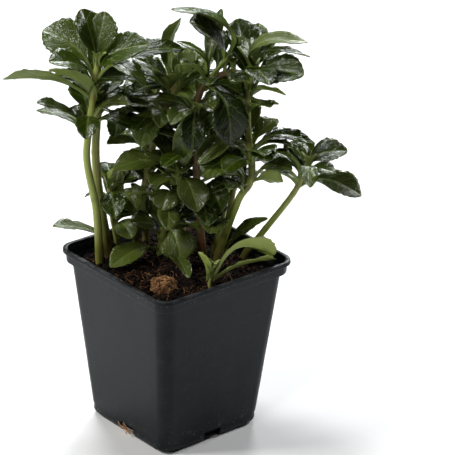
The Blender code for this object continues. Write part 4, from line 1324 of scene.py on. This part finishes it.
def strips(edge: list[tuple[float, int]], rib: list[tuple[float, int]]) -> list[tuple[int, int, int]]:
    """Triangles between an edge and a midrib that end in one tip.

    Args:
        edge: Share of the length and index of each point of the edge.
        rib: The same for the midrib.

    Returns:
        The triangles' indices.
    """
    triangles = []
    i = j = 0
    while i < len(edge) - 1 or j < len(rib) - 1:
        reach = (rib[j][0] + rib[j + 1][0]) / 2 if j < len(rib) - 2 else edge[-2][0]
        if i < len(edge) - 1 and (j == len(rib) - 1 or edge[i + 1][0] <= reach):
            if edge[i + 1][1] != rib[j][1]:
                triangles.append((edge[i][1], edge[i + 1][1], rib[j][1]))
            i += 1
        else:
            if rib[j + 1][1] != edge[i][1]:
                triangles.append((edge[i][1], rib[j + 1][1], rib[j][1]))
            j += 1
    return triangles


class Toothing(Enum):
    """How a blade's edge is cut: the corners of its solid and its fine teeth, by their place and reach."""

    BROAD = (BROAD_EDGE, BROAD_TEETH)
    NARROW = (NARROW_EDGE, NARROW_TEETH)

    def __init__(self, corners: Pairs, teeth: Pairs) -> None:
        """Takes the two lists as arrays."""
        self.corners = np.array(corners)
        self.teeth = np.array(teeth)


class Fineness(Enum):
    """How finely a leaf is divided: columns beside its midrib, rows of its blade and of its petiole."""

    FULL = (7, 34, 7)
    INNER = (3, 16, 4)

    def __init__(self, columns: int, rows: int, petiole_rows: int) -> None:
        """Takes the three numbers.

        Args:
            columns: Columns of faces on each side of the midrib.
            rows: Rows of the blade.
            petiole_rows: Rows of the petiole.
        """
        self.columns = columns
        self.rows = rows
        self.petiole_rows = petiole_rows


class Blade:
    """The surface of one leaf, from its root on the stem (u = 0) to its tip (u = 1)."""

    def __init__(self, root: Vector, tip: Vector, width: float, arch: float, face: float,
                 fold: float) -> None:
        """Works out the frame of a leaf.

        Args:
            root: Where the petiole leaves the stem.
            tip: The leaf's tip.
            width: The blade's width, in millimetres.
            arch: Height of the midrib's arch, as a share of the leaf's length.
            face: Turn of the upper face towards the viewer, in degrees.
            fold: Rise of each half away from the midrib.
        """
        chord = tip - root
        self.length, self.fold, self.half = chord.length, fold, width * MM / 2
        self.toothing = Toothing.NARROW if self.half < NARROW_HALF else Toothing.BROAD
        ahead = chord.normalized()
        side = ahead.cross(UP).normalized()
        normal = side.cross(ahead)
        sense = 1 if ahead.cross(normal).dot(VIEWER) > 0 else -1
        self.root, self.chord = np.array(root), np.array(chord)
        self.bulge = np.array(normal * arch * self.length)
        self.side = np.array(ahead.cross(Quaternion(ahead, sense * radians(face)) @ normal))

    def surface(self, u: Array, across: Array, lift: Array) -> tuple[Array, Array]:
        """Points of the upper face.

        The midrib is the chord with a bow added, which rises fast at the stem and turns outward. A point lies
        off it to the side, raised by the fold, by a slow wave and by its own lift along the face's normal.

        Args:
            u: Shares of the leaf's length.
            across: Distances from the midrib.
            lift: Distances added along the normal.

        Returns:
            The points and the normals there.
        """
        u, across, lift = np.broadcast_arrays(u, across, lift)
        bow = u * (1 - u) * (BOW_START - BOW_EASE * u)
        slope = (1 - 2 * u) * (BOW_START - BOW_EASE * u) - BOW_EASE * u * (1 - u)
        rib = self.root + self.chord * u[..., None] + self.bulge * bow[..., None]
        along = unit(self.chord + self.bulge * slope[..., None])
        side = unit(self.side - along * (along @ self.side)[..., None])
        normal = np.cross(side, along)
        share = np.maximum(0, (u - PETIOLE_SHARE) / (1 - PETIOLE_SHARE))
        wave = WAVE * np.sin(WAVE_TURNS * share + np.where(across > 0, 1, 2)) * share
        rise = (self.fold + wave) * np.abs(across) + lift
        return rib + side * across[..., None] + normal * rise[..., None], normal

    def solid(self, grow: float = 0.0, start: float = 0.0) -> BVHTree:
        """The leaf's plain solid, as a tree for tests.

        Args:
            grow: How far the solid is grown all round.
            start: Share of the length where it begins.

        Returns:
            The tree.
        """
        foot = [start] if start else [0.0, PETIOLE_SHARE]
        shares, reaches = self.toothing.corners.T
        kept = to_u(shares) > foot[-1]
        shares, reaches = shares[kept], reaches[kept]
        edge_u = np.concatenate([foot, to_u(shares)])
        widths = np.maximum(PETIOLE_HALF, self.half * half_width(shares) * reaches)
        widths = np.concatenate([[PETIOLE_HALF] * len(foot), widths]) + grow
        rib_u = np.array(foot + [to_u(s) for s in RIB_STATIONS if to_u(s) > foot[-1]])
        u = np.concatenate([edge_u, edge_u, rib_u, [1.0]])
        across = np.concatenate([widths, -widths, 0 * rib_u, [0.0]])
        deep = np.interp(rib_u, *np.array(RIB_DEPTHS).T) * MM
        thick = np.concatenate([np.full(2 * len(edge_u), BLADE_EDGE), deep, [BLADE_EDGE]])
        top, normal = self.surface(u, across, np.full(len(u), grow))
        points = np.concatenate([top, top - normal * (thick + 2 * grow)[:, None]])
        count, edges = len(u), len(edge_u)
        right = [(edge_u[k], k) for k in range(edges)] + [(1.0, count - 1)]
        left = [(edge_u[k], k + edges) for k in range(edges)] + [(1.0, count - 1)]
        middle = [(rib_u[k], k + 2 * edges) for k in range(len(rib_u))] + [(1.0, count - 1)]
        faces = strips(right, middle) + [face[::-1] for face in strips(left, middle)]
        faces += [tuple(count + k for k in face[::-1]) for face in faces]
        for a, b in zip(right, right[1:]):
            faces += [(b[1], a[1], count + a[1]), (b[1], count + a[1], count + b[1])]
        for a, b in zip(left, left[1:]):
            faces += [(a[1], b[1], count + b[1]), (a[1], count + b[1], count + a[1])]
        r, m, l = right[0][1], middle[0][1], left[0][1]
        faces += [(r, m, count + m), (r, count + m, count + r), (m, l, count + l), (m, count + l, count + m)]
        return BVHTree.FromPolygons(points.tolist(), faces)


def bend_steps(limit: float) -> list[tuple[int, int]]:
    """Turns and lifts, in degrees, that a leaf may bend by to get clear, the smallest first."""
    steps = [(abs(turn) + abs(lift), turn, lift) for turn, lift in product(BEND_TURNS, BEND_LIFTS)]
    return [(turn, lift) for bend, turn, lift in sorted(steps) if bend <= limit]


def bent(root: Vector, tip: Vector, turn: float, lift: float) -> Vector:
    """A leaf's tip after it is turned about its root and lifted.

    Args:
        root: The leaf's root.
        tip: Its tip before.
        turn: Turn about the vertical, in degrees.
        lift: Turn upwards, in degrees.

    Returns:
        The new tip.
    """
    chord = Matrix.Rotation(radians(turn), 3, "Z") @ (tip - root)
    side = chord.cross(UP).normalized()
    return root + Quaternion(side, radians(lift)) @ chord


def stem_path(shoot: Shoot, steps: int) -> list[Vector]:
    """Smooth points along a stem, from its root in the soil to its tip.

    Between two of the stem's points the path is a cubic, whose slope at a point is half the step from the
    point before it to the point after it.

    Args:
        shoot: The shoot.
        steps: Points for each stretch.

    Returns:
        The points.
    """
    points = [front(*p) for p in shoot.stem]
    points.insert(0, points[0] - UP * STEM_ROOT_DEPTH)
    path = []
    for k in range(1, len(points) - 1):
        before, a, b = points[k - 1], points[k], points[k + 1]
        after = points[min(k + 2, len(points) - 1)]
        for step in range(steps):
            t = step / steps
            path.append(0.5 * (2 * a + (b - before) * t + (2 * before - 5 * a + 4 * b - after) * t * t
                               + (3 * a - before - 3 * b + after) * t ** 3))
    end = (points[-1] - points[-2]).normalized()
    return [points[0]] + path + [points[-1], points[-1] + end * STEM_TIP]


def stem_point(path: list[Vector], height: float) -> Vector:
    """The place on a stem at a height.

    Args:
        path: The stem's points.
        height: The height, in metres.

    Returns:
        The place, or the stem's tip where the stem is lower.
    """
    for a, b in zip(path, path[1:]):
        if a.z <= height <= b.z:
            return a.lerp(b, (height - a.z) / max(b.z - a.z, 1e-9))
    return path[-1].copy()


def stem_solid(shoot: Shoot, path: list[Vector]) -> BVHTree:
    """The stem's plain solid, a tapered tube of six sides, as a tree for tests.

    Args:
        shoot: The shoot.
        path: The stem's points.

    Returns:
        The tree.
    """
    side = Vector((1, 0, 0))
    points = []
    for k, point in enumerate(path):
        along = (path[min(k + 1, len(path) - 1)] - path[max(k - 1, 0)]).normalized()
        side = (side - along * side.dot(along)).normalized()
        other = along.cross(side)
        radius = (shoot.thick[0] + (shoot.thick[1] - shoot.thick[0]) * k / (len(path) - 1)) * MM
        if k == len(path) - 1:
            radius *= STEM_TIP_SHARE
        turns = [2 * pi * j / STEM_SIDES for j in range(STEM_SIDES)]
        points += [point + (side * cos(t) + other * sin(t)) * radius for t in turns]
    faces = [tuple(reversed(range(STEM_SIDES))), tuple(range(len(points) - STEM_SIDES, len(points)))]
    for level, k in product(range(len(path) - 1), range(STEM_SIDES)):
        a, b = level * STEM_SIDES + k, level * STEM_SIDES + (k + 1) % STEM_SIDES
        faces.append((a, b, b + STEM_SIDES, a + STEM_SIDES))
    return BVHTree.FromPolygons(points, faces)


class Layout:
    """Places every leaf so that it is clear of pot, soil and tuft, and of the other shoots."""

    def __init__(self, fixed: list[BVHTree]) -> None:
        """Starts with bare stems.

        Args:
            fixed: Trees of what every leaf keeps clear of.
        """
        self.fixed = fixed
        self.paths = {shoot.name: stem_path(shoot, STEM_STEPS) for shoot in SHOOTS}
        self.stems = {shoot.name: stem_solid(shoot, self.paths[shoot.name]) for shoot in SHOOTS}
        self.placed: list[tuple[str, BVHTree, BVHTree]] = []
        self.blades: dict[str, list[Blade]] = {shoot.name: [] for shoot in SHOOTS}
        self.roots: dict[str, list[float]] = {shoot.name: [] for shoot in SHOOTS}
        self.listed: dict[str, int] = {}

    def is_clear(self, shoot: Shoot, blade: Blade, crossing: bool) -> bool:
        """Tells whether a leaf is clear.

        Args:
            shoot: The leaf's own shoot.
            blade: The leaf.
            crossing: True if it may cross its own shoot's blades.

        Returns:
            True if it touches nothing of others and, unless it may cross, no blade or stem of its own.
        """
        whole = blade.solid(CLEARANCE)
        if any(whole.overlap(tree) for tree in self.fixed):
            return False
        if any(whole.overlap(tree) for name, tree in self.stems.items() if name != shoot.name):
            return False
        if any(whole.overlap(tree) for name, tree, _ in self.placed if name != shoot.name):
            return False
        if crossing:
            return True
        free = blade.solid(CLEARANCE, FREE_SHARE)
        if free.overlap(self.stems[shoot.name]):
            return False
        return not any(free.overlap(tree) for name, _, tree in self.placed if name == shoot.name)

    def place(self, shoot: Shoot, root: Vector, tip: Vector, leaf: Leaf, tries: Tries) -> None:
        """Places a leaf at the first bend that is clear, or leaves it out where none is.

        Args:
            shoot: The leaf's shoot.
            root: The leaf's root.
            tip: The tip that is wanted.
            leaf: Its width, arch, face and fold.
            tries: For each try: whether it may cross its shoot's blades, its largest bend and its size.
        """
        for crossing, limit, size in tries:
            for turn, lift in bend_steps(limit):
                end = bent(root, root + (tip - root) * size, turn, lift)
                blade = Blade(root, end, leaf.width * size, leaf.arch, leaf.face, leaf.fold)
                if self.is_clear(shoot, blade, crossing):
                    self.placed.append((shoot.name, blade.solid(), blade.solid(start=FREE_SHARE)))
                    self.blades[shoot.name].append(blade)
                    self.roots[shoot.name].append(root.z)
                    return

    def root(self, shoot: Shoot, height: float, rank: int, heading: Vector) -> Vector:
        """The root of a leaf, inside its side of the stem.

        Args:
            shoot: The leaf's shoot.
            height: Height on the stem, in millimetres.
            rank: The leaf's number, because each leaf of a whorl is a little lower than the last.
            heading: The way that the leaf points.

        Returns:
            The root.
        """
        centre = stem_point(self.paths[shoot.name], height * MM - (rank % WHORL_LEAVES) * WHORL_STEP)
        out = Vector((heading.x, heading.y, 0)).normalized()
        return centre + out * ROOT_OFFSET * shoot.thick[1] * MM

    def run(self) -> None:
        """Places the leaves that were read one by one, then those set by rule, and then the inner ones."""
        draw = random.Random(SEED)
        for shoot in SHOOTS:
            for rank, leaf in enumerate(shoot.leaves):
                tip = front(*leaf.tip)
                heading = tip - stem_point(self.paths[shoot.name], leaf.root * MM)
                self.place(shoot, self.root(shoot, leaf.root, rank, heading), tip, leaf, LISTED_TRIES)
        for shoot in SHOOTS:
            for fill in shoot.fills:
                self.fill(shoot, fill, draw, RULE_TRIES)
        self.listed = {name: len(blades) for name, blades in self.blades.items()}
        for shoot in SHOOTS:
            for fill in INNER_FILLS.get(shoot.name, ()):
                self.fill(shoot, fill, draw, INNER_TRIES)

    def fill(self, shoot: Shoot, fill: Fill, draw: random.Random, tries: Tries) -> None:
        """Places the leaves of one rule.

        Args:
            shoot: The shoot.
            fill: The rule.
            draw: Source of the random numbers.
            tries: As for one leaf.
        """
        for k in range(fill.count):
            even = fill.start + (fill.end - fill.start) * (k + 0.5) / fill.count
            heading = radians(even + draw.uniform(-FILL_TURN, FILL_TURN))
            rise = radians(fill.rise + FILL_RISES[k % 2] + draw.uniform(-FILL_TILT, FILL_TILT))
            length = fill.length * draw.uniform(*FILL_LENGTHS)
            ahead = front(cos(heading) * cos(rise), sin(heading) * cos(rise), sin(rise))
            root = self.root(shoot, fill.root, k, ahead)
            leaf = Leaf(fill.root, (0, 0, 0), fill.width * draw.uniform(*FILL_WIDTHS),
                        draw.uniform(*FILL_ARCHES), draw.uniform(-FILL_FACE, FILL_FACE))
            self.place(shoot, root, root + ahead * length, leaf, tries)


@dataclass
class LeafyShoot:
    """One leafy stem with fine leaves, which stands for its solid."""

    shoot: Shoot
    path: list[Vector]
    blades: list[Blade]
    roots: list[float]
    listed: int
    box: Array
    stem_rows: int = 90
    stem_sides: int = 16
    stem_share: float = 0.96
    stem_ribs: int = 5
    stem_rib_height: float = 0.035
    tip_shares: tuple[float, ...] = (0.9, 0.72, 0.45)
    scar_spacing: float = 6 * MM
    scar_width: float = 1.6 * MM
    old_scar_places: tuple[float, ...] = (0.35, 0.7)
    old_scar_width: float = 0.9 * MM
    swelling: float = 0.07
    stalk_radius: float = 0.78 * MM
    full_stalk_half: float = 6 * MM
    crowding: float = 1.45
    fold_softness: float = 0.8 * MM
    wave_length: float = 15
    rib_stations: tuple[float, ...] = (0.0, PETIOLE_SHARE, 0.5, 1.0)
    rib_depths: tuple[float, ...] = (1.35, 1.2, 0.7, 0.15)
    rib_radius: float = 0.95 * MM
    edge_depth: float = 0.18
    middle_depth: float = 0.26
    bud_leaves: int = 5
    bud_rises: tuple[float, float] = (52, 74)
    bud_lengths: tuple[float, float] = (6.0, 9.5)
    bud_widths: tuple[float, float] = (2.6, 3.8)
    bud_arches: tuple[float, float] = (0.05, 0.2)
    bud_youths: tuple[float, float] = (0.35, 0.6)
    bud_fold: float = 0.35
    bud_seat: float = 1.5 * MM
    grown_share: float = 0.6
    youths: tuple[float, float] = (0.02, 0.15)

    def stations(self, blade: Blade, rows: int) -> tuple[Array, Array]:
        """Where the rows of a blade stand.

        Args:
            blade: The leaf's surface.
            rows: Even rows, before those at the teeth are added.

        Returns:
            Shares of the blade's length, at every tooth and evenly between, and the edge's reach there.
        """
        teeth = blade.toothing.teeth
        even = np.linspace(0, 0.985, rows)
        near = np.abs(even[:, None] - teeth[None, :, 0]).min(axis=1) < 0.006
        shares = np.sort(np.concatenate([even[~near], teeth[:-1, 0]]))
        return shares, np.interp(shares, teeth[:, 0], teeth[:, 1])

    def edge(self, blade: Blade, grid: Fineness) -> tuple[Array, Array]:
        """Where a leaf's rows stand and how far its edge is from its midrib there.

        The half width is the blade's profile times the reach of its teeth. The petiole has one radius, which
        fades into the blade by the root of the sum of squares.

        Args:
            blade: The leaf's surface.
            grid: How finely it is divided.

        Returns:
            Shares of the leaf's length and half widths.
        """
        shares, reach = self.stations(blade, grid.rows)
        petiole = np.linspace(0, PETIOLE_SHARE, grid.petiole_rows, endpoint=False)
        wide = blade.half * half_width(shares) * reach
        stalk = self.stalk_radius * min(1.0, blade.half / self.full_stalk_half) ** 0.5
        stalks = np.full(grid.petiole_rows, stalk)
        halves = np.minimum(np.hypot(wide, stalk * (1 - shares) ** 2), np.maximum(wide, stalk))
        return np.concatenate([petiole, to_u(shares)]), np.concatenate([stalks, halves])

    def leaf(self, form: Form, blade: Blade, chance: float, youth: float, grid: Fineness) -> None:
        """Adds one fine leaf.

        The upper face rises from the midrib by a rounded fold, quilts between its side veins by a cosine, and
        waves at its margin. The lower face lies under it by a thin blade with a half-round rib, which at the
        petiole is the whole section.

        Args:
            form: The mesh in the making.
            blade: The leaf's surface.
            chance: The leaf's own random number, from 0 to 1.
            youth: How young and pale the leaf is, from 0 to 1.
            grid: How finely the leaf is divided.
        """
        u, edge = (values[:, None] for values in self.edge(blade, grid))
        share = np.maximum(0, (u - PETIOLE_SHARE) / (1 - PETIOLE_SHARE))
        spread = np.linspace(-1, 1, 2 * grid.columns + 1)
        spread = np.sign(spread) * np.abs(spread) ** self.crowding
        across = edge * spread
        aside = np.abs(across)
        soft = self.fold_softness
        fold = -(blade.fold * (aside - (np.sqrt(aside ** 2 + soft ** 2) - soft)))
        along = share * (blade.length * (1 - PETIOLE_SHARE)) / MM
        phase = (along - aside / MM * VEIN_SLANT) / VEIN_SPACING
        rise = np.clip(aside / (3 * MM), 0, 1) * np.sin(pi * np.clip(share, 0, 1)) ** 0.5
        quilt = -QUILT * np.cos(2 * pi * phase) * rise
        beat = 2 * pi * along / self.wave_length + 6.28 * chance
        margin = MARGIN_WAVE * np.abs(spread) ** 3 * share * np.sin(beat + np.sign(spread) * 1.2)
        top, normal = blade.surface(u, across, fold + quilt + margin)
        depth = np.interp(u, self.rib_stations, self.rib_depths) * MM
        rib = np.sqrt(np.clip(1 - (aside / np.minimum(self.rib_radius, edge * 1.02)) ** 2, 0, 1))
        thin = (self.edge_depth + self.middle_depth * (1 - np.abs(spread) ** 2)) * MM
        under = top - normal * (thin + depth * rib)[..., None]
        rings = np.clip(np.concatenate([top, under[:, ::-1]], axis=1), *self.box)[None]
        both = np.concatenate([across, across[:, ::-1]], axis=1)
        below = np.concatenate([np.zeros_like(across), np.ones_like(across)], axis=1)
        marks = np.stack(np.broadcast_arrays(along, both / MM, edge / MM), axis=-1)[None]
        tints = np.stack(np.broadcast_arrays(chance, below, youth), axis=-1)[None]
        tip, _ = blade.surface(np.array([1.0]), np.array([0.0]), np.array([-0.3 * MM]))
        form.add(rings, rings[:, 0].mean(axis=1), np.clip(tip, *self.box), tints, marks)

    def stem(self, form: Form, chance: float) -> None:
        """Adds the stem: a tube that tapers, swells below each whorl and is faintly ribbed.

        Args:
            form: The mesh in the making.
            chance: The stem's own random number.
        """
        coarse = np.array(stem_path(self.shoot, 12))
        distance = np.concatenate([[0], np.cumsum(np.linalg.norm(np.diff(coarse, axis=0), axis=1))])
        share = np.linspace(0, 1, self.stem_rows)
        place = share * distance[-1]
        path = np.stack([np.interp(place, distance, coarse[:, k]) for k in range(3)], axis=-1)
        low, high = self.shoot.thick
        radius = (low + (high - low) * share) * MM * self.stem_share
        scars = np.zeros(self.stem_rows)
        for level in np.unique(np.round(np.array(self.roots) / self.scar_spacing)) * self.scar_spacing:
            scars = np.maximum(scars, np.exp(-((path[:, 2] - level) / self.scar_width) ** 2))
        foot = path[0, 2] + STEM_ROOT_DEPTH
        for place in self.old_scar_places:
            level = foot + place * (path[-1, 2] - foot) * (0.9 + 0.2 * chance)
            scars = np.maximum(scars, 0.6 * np.exp(-((path[:, 2] - level) / self.old_scar_width) ** 2))
        radius = radius * (1 + self.swelling * scars)
        radius[-len(self.tip_shares):] *= self.tip_shares
        turn = np.linspace(0, 2 * pi, self.stem_sides, endpoint=False)
        beat = np.cos(self.stem_ribs * turn[None] + 6 * chance)
        ribs = 1 + self.stem_rib_height * beat * (1 - scars[:, None] * 0.7)
        rings = tube_rings(path[None], (radius[:, None] * ribs)[None], self.stem_sides)
        height = np.clip((path[:, 2] - foot) / max(path[-1, 2] - foot, 1e-6), 0, 1)
        marks = np.stack(np.broadcast_arrays(height[:, None], np.sin(turn), scars[:, None]), axis=-1)[None]
        tints = same(rings.shape[:3], self.shoot.redness, chance, 0)
        form.add(rings, path[:1], path[-1:], tints, marks, slot=1)

    def bud(self, form: Form, draw: random.Random) -> None:
        """Adds the bud at the stem's tip: a few small upright leaves.

        Args:
            form: The mesh in the making.
            draw: Source of the random numbers.
        """
        tip = self.path[-1]
        for k in range(self.bud_leaves):
            heading = 2 * pi * (k + draw.uniform(-0.2, 0.2)) / self.bud_leaves
            rise = radians(draw.uniform(*self.bud_rises))
            length = draw.uniform(*self.bud_lengths) * MM
            ahead = Vector((cos(heading) * cos(rise), sin(heading) * cos(rise), sin(rise)))
            width, arch = draw.uniform(*self.bud_widths), draw.uniform(*self.bud_arches)
            blade = Blade(tip - UP * self.bud_seat, tip + ahead * length, width, arch, 0, self.bud_fold)
            self.leaf(form, blade, draw.random(), draw.uniform(*self.bud_youths), Fineness.INNER)

    def build(self, materials: list[Material]) -> Object:
        """Makes the whole shoot as one piece.

        Args:
            materials: The leaves' material and the stem's.

        Returns:
            The shoot's object.
        """
        draw = random.Random(self.shoot.name)
        form = Form()
        self.stem(form, draw.random())
        for k, blade in enumerate(self.blades):
            youth = 0.0 if draw.random() < self.grown_share else draw.uniform(*self.youths)
            youth = max(youth, YOUNG_SHOOTS.get(self.shoot.name, 0.0))
            grid = Fineness.FULL if k < self.listed else Fineness.INNER
            self.leaf(form, blade, draw.random(), youth, grid)
        self.bud(form, draw)
        return form.build(self.shoot.name + "_fine", materials)


@dataclass(frozen=True)
class Lamp:
    """A square soft light: its place in the front frame, its size in metres, its power and its colour."""

    name: str
    place: Place
    size: float
    power: float
    colour: Colour

    def build(self) -> None:
        """Makes the light, aimed at the plant's middle."""
        data = bpy.data.lights.new(self.name, "AREA")
        data.size = self.size
        data.energy = self.power
        data.color = self.colour
        light = bpy.data.objects.new(self.name, data)
        light.location = front(*self.place)
        aim = UP * LAMP_AIM - light.location
        light.rotation_euler = aim.to_track_quat("-Z", "Y").to_euler()
        bpy.context.scene.collection.objects.link(light)


@dataclass
class Studio:
    """The pale floor, the soft lights and the camera."""

    floor_half: float = 3.0
    floor_paint: FloorPaint = field(default_factory=FloorPaint)
    surround: float = 0.02
    clip_end: float = 20.0
    lamps: tuple[Lamp, ...] = (
        Lamp("key", (-800, -200, 850), 0.25, 9.0, (1.0, 0.99, 0.96)),
        Lamp("front", (-420, -850, 700), 0.12, 1.9, (1.0, 1.0, 0.98)),
        Lamp("top", (-250, 450, 1100), 0.25, 9.0, (0.96, 0.98, 1.0)),
        Lamp("back", (150, 950, 750), 0.25, 6.5, (0.95, 0.98, 1.0)),
        Lamp("rim", (750, 450, 600), 0.22, 6.5, (0.98, 0.99, 1.0)),
    )

    def build(self) -> None:
        """Makes the floor, the lights and the camera."""
        self.floor()
        for lamp in self.lamps:
            lamp.build()
        self.world()
        self.camera()

    def floor(self) -> None:
        """Makes the floor, which is stage and no part of the object."""
        mesh = bpy.data.meshes.new("floor")
        half = self.floor_half
        corners = [(-half, -half, 0), (half, -half, 0), (half, half, 0), (-half, half, 0)]
        mesh.from_pydata(corners, [], [(0, 1, 2, 3)])
        mesh.materials.append(self.floor_paint.material())
        floor = bpy.data.objects.new("floor", mesh)
        bpy.context.scene.collection.objects.link(floor)
        floor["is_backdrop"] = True

    def world(self) -> None:
        """Sets an even pale surround."""
        world = bpy.data.worlds.new("surround")
        world.use_nodes = True
        background = world.node_tree.nodes["Background"]
        background.inputs[0].default_value = (1.0, 1.0, 1.0, 1.0)
        background.inputs[1].default_value = self.surround
        bpy.context.scene.world = world

    def camera(self) -> None:
        """Sets the camera at the photograph's angle."""
        scene = bpy.context.scene
        data = bpy.data.cameras.new("camera")
        data.sensor_width = SENSOR
        data.lens = FOCAL_PIXELS / FRAME_PIXELS * SENSOR
        data.clip_end = self.clip_end
        camera = bpy.data.objects.new("camera", data)
        ahead = front(0, cos(VIEW_RISE), -sin(VIEW_RISE)).normalized()
        camera.location = front(*VIEW_TARGET) - ahead * VIEW_DISTANCE
        level = ahead.to_track_quat("-Z", "Y")
        camera.rotation_euler = (level @ Quaternion((0, 0, 1), VIEW_ROLL)).to_euler()
        scene.collection.objects.link(camera)
        scene.camera = camera
        scene.view_settings.view_transform = "Standard"


def plain(bounds: Iterable[Iterable[float]]) -> list[list[float]]:
    """A box as plain lists of numbers."""
    return [[float(c) for c in corner] for corner in bounds]


class PottedSpurge:
    """The whole object: its pieces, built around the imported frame."""

    def __init__(self, frame: dict[str, object]) -> None:
        """Keeps the frame."""
        self.nodes = frame["nodes"]

    def tree(self, name: str) -> BVHTree:
        """The tree of a node's solid.

        Args:
            name: The node's name.

        Returns:
            The tree.
        """
        mesh = self.nodes[name].data
        faces = [tuple(face.vertices) for face in mesh.polygons]
        return BVHTree.FromPolygons([v.co.copy() for v in mesh.vertices], faces)

    def fit(self, piece: Object, slot: str, *nodes: str) -> None:
        """Makes a piece ride on the root body, hides the nodes that it replaces, and reports it.

        Args:
            piece: The piece.
            slot: Its material slot; not used.
            nodes: The nodes that it stands for.
        """
        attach(piece, "root")
        if nodes:
            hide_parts(*nodes)
        places = np.empty(len(piece.data.vertices) * 3, np.float32)
        piece.data.vertices.foreach_get("co", places)
        places = places.reshape(-1, 3) / MM
        sizes = np.empty(len(piece.data.polygons), np.int32)
        piece.data.polygons.foreach_get("loop_total", sizes)
        low, high = places.min(axis=0).round(1), places.max(axis=0).round(1)
        log.info("%s: %d triangles, %s to %s mm", piece.name, int((sizes - 2).sum()), low, high)

    def build(self) -> None:
        """Builds every piece in order."""
        self.fit(Pot().build(), "black_plastic", "pot")
        soil = Soil()
        self.fit(soil.build(), "soil", "soil")
        self.fit(soil.litter(), "coir")
        self.fit(CoirTuft().build(), "coir", "coir_tuft")
        self.fit(SlotRoots().build(), "coir")
        layout = Layout([self.tree(name) for name in ("pot", "soil", "coir_tuft")])
        layout.run()
        skins = [LeafSkin().material(), StemSkin().material()]
        low, high = np.array(plain(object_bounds()))
        box = np.stack([low + BOX_MARGIN, high - BOX_MARGIN])
        for shoot in SHOOTS:
            name = shoot.name
            fine = LeafyShoot(shoot, layout.paths[name], layout.blades[name], layout.roots[name],
                              layout.listed[name], box)
            self.fit(fine.build(skins), "leaf_green", shoot.name)
            low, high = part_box(shoot.name)
            solid = np.round(np.array([low, high]) / MM, 1).tolist()
            log.info("  its solid: %s to %s mm, %d leaves", *solid, len(fine.blades))


def main() -> None:
    """Loads the frame and builds the object and its studio."""
    logging.basicConfig(level=logging.INFO, format="%(name)s %(message)s")
    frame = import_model()
    PottedSpurge(frame).build()
    Studio().build()


if __name__ == "__main__":
    main()
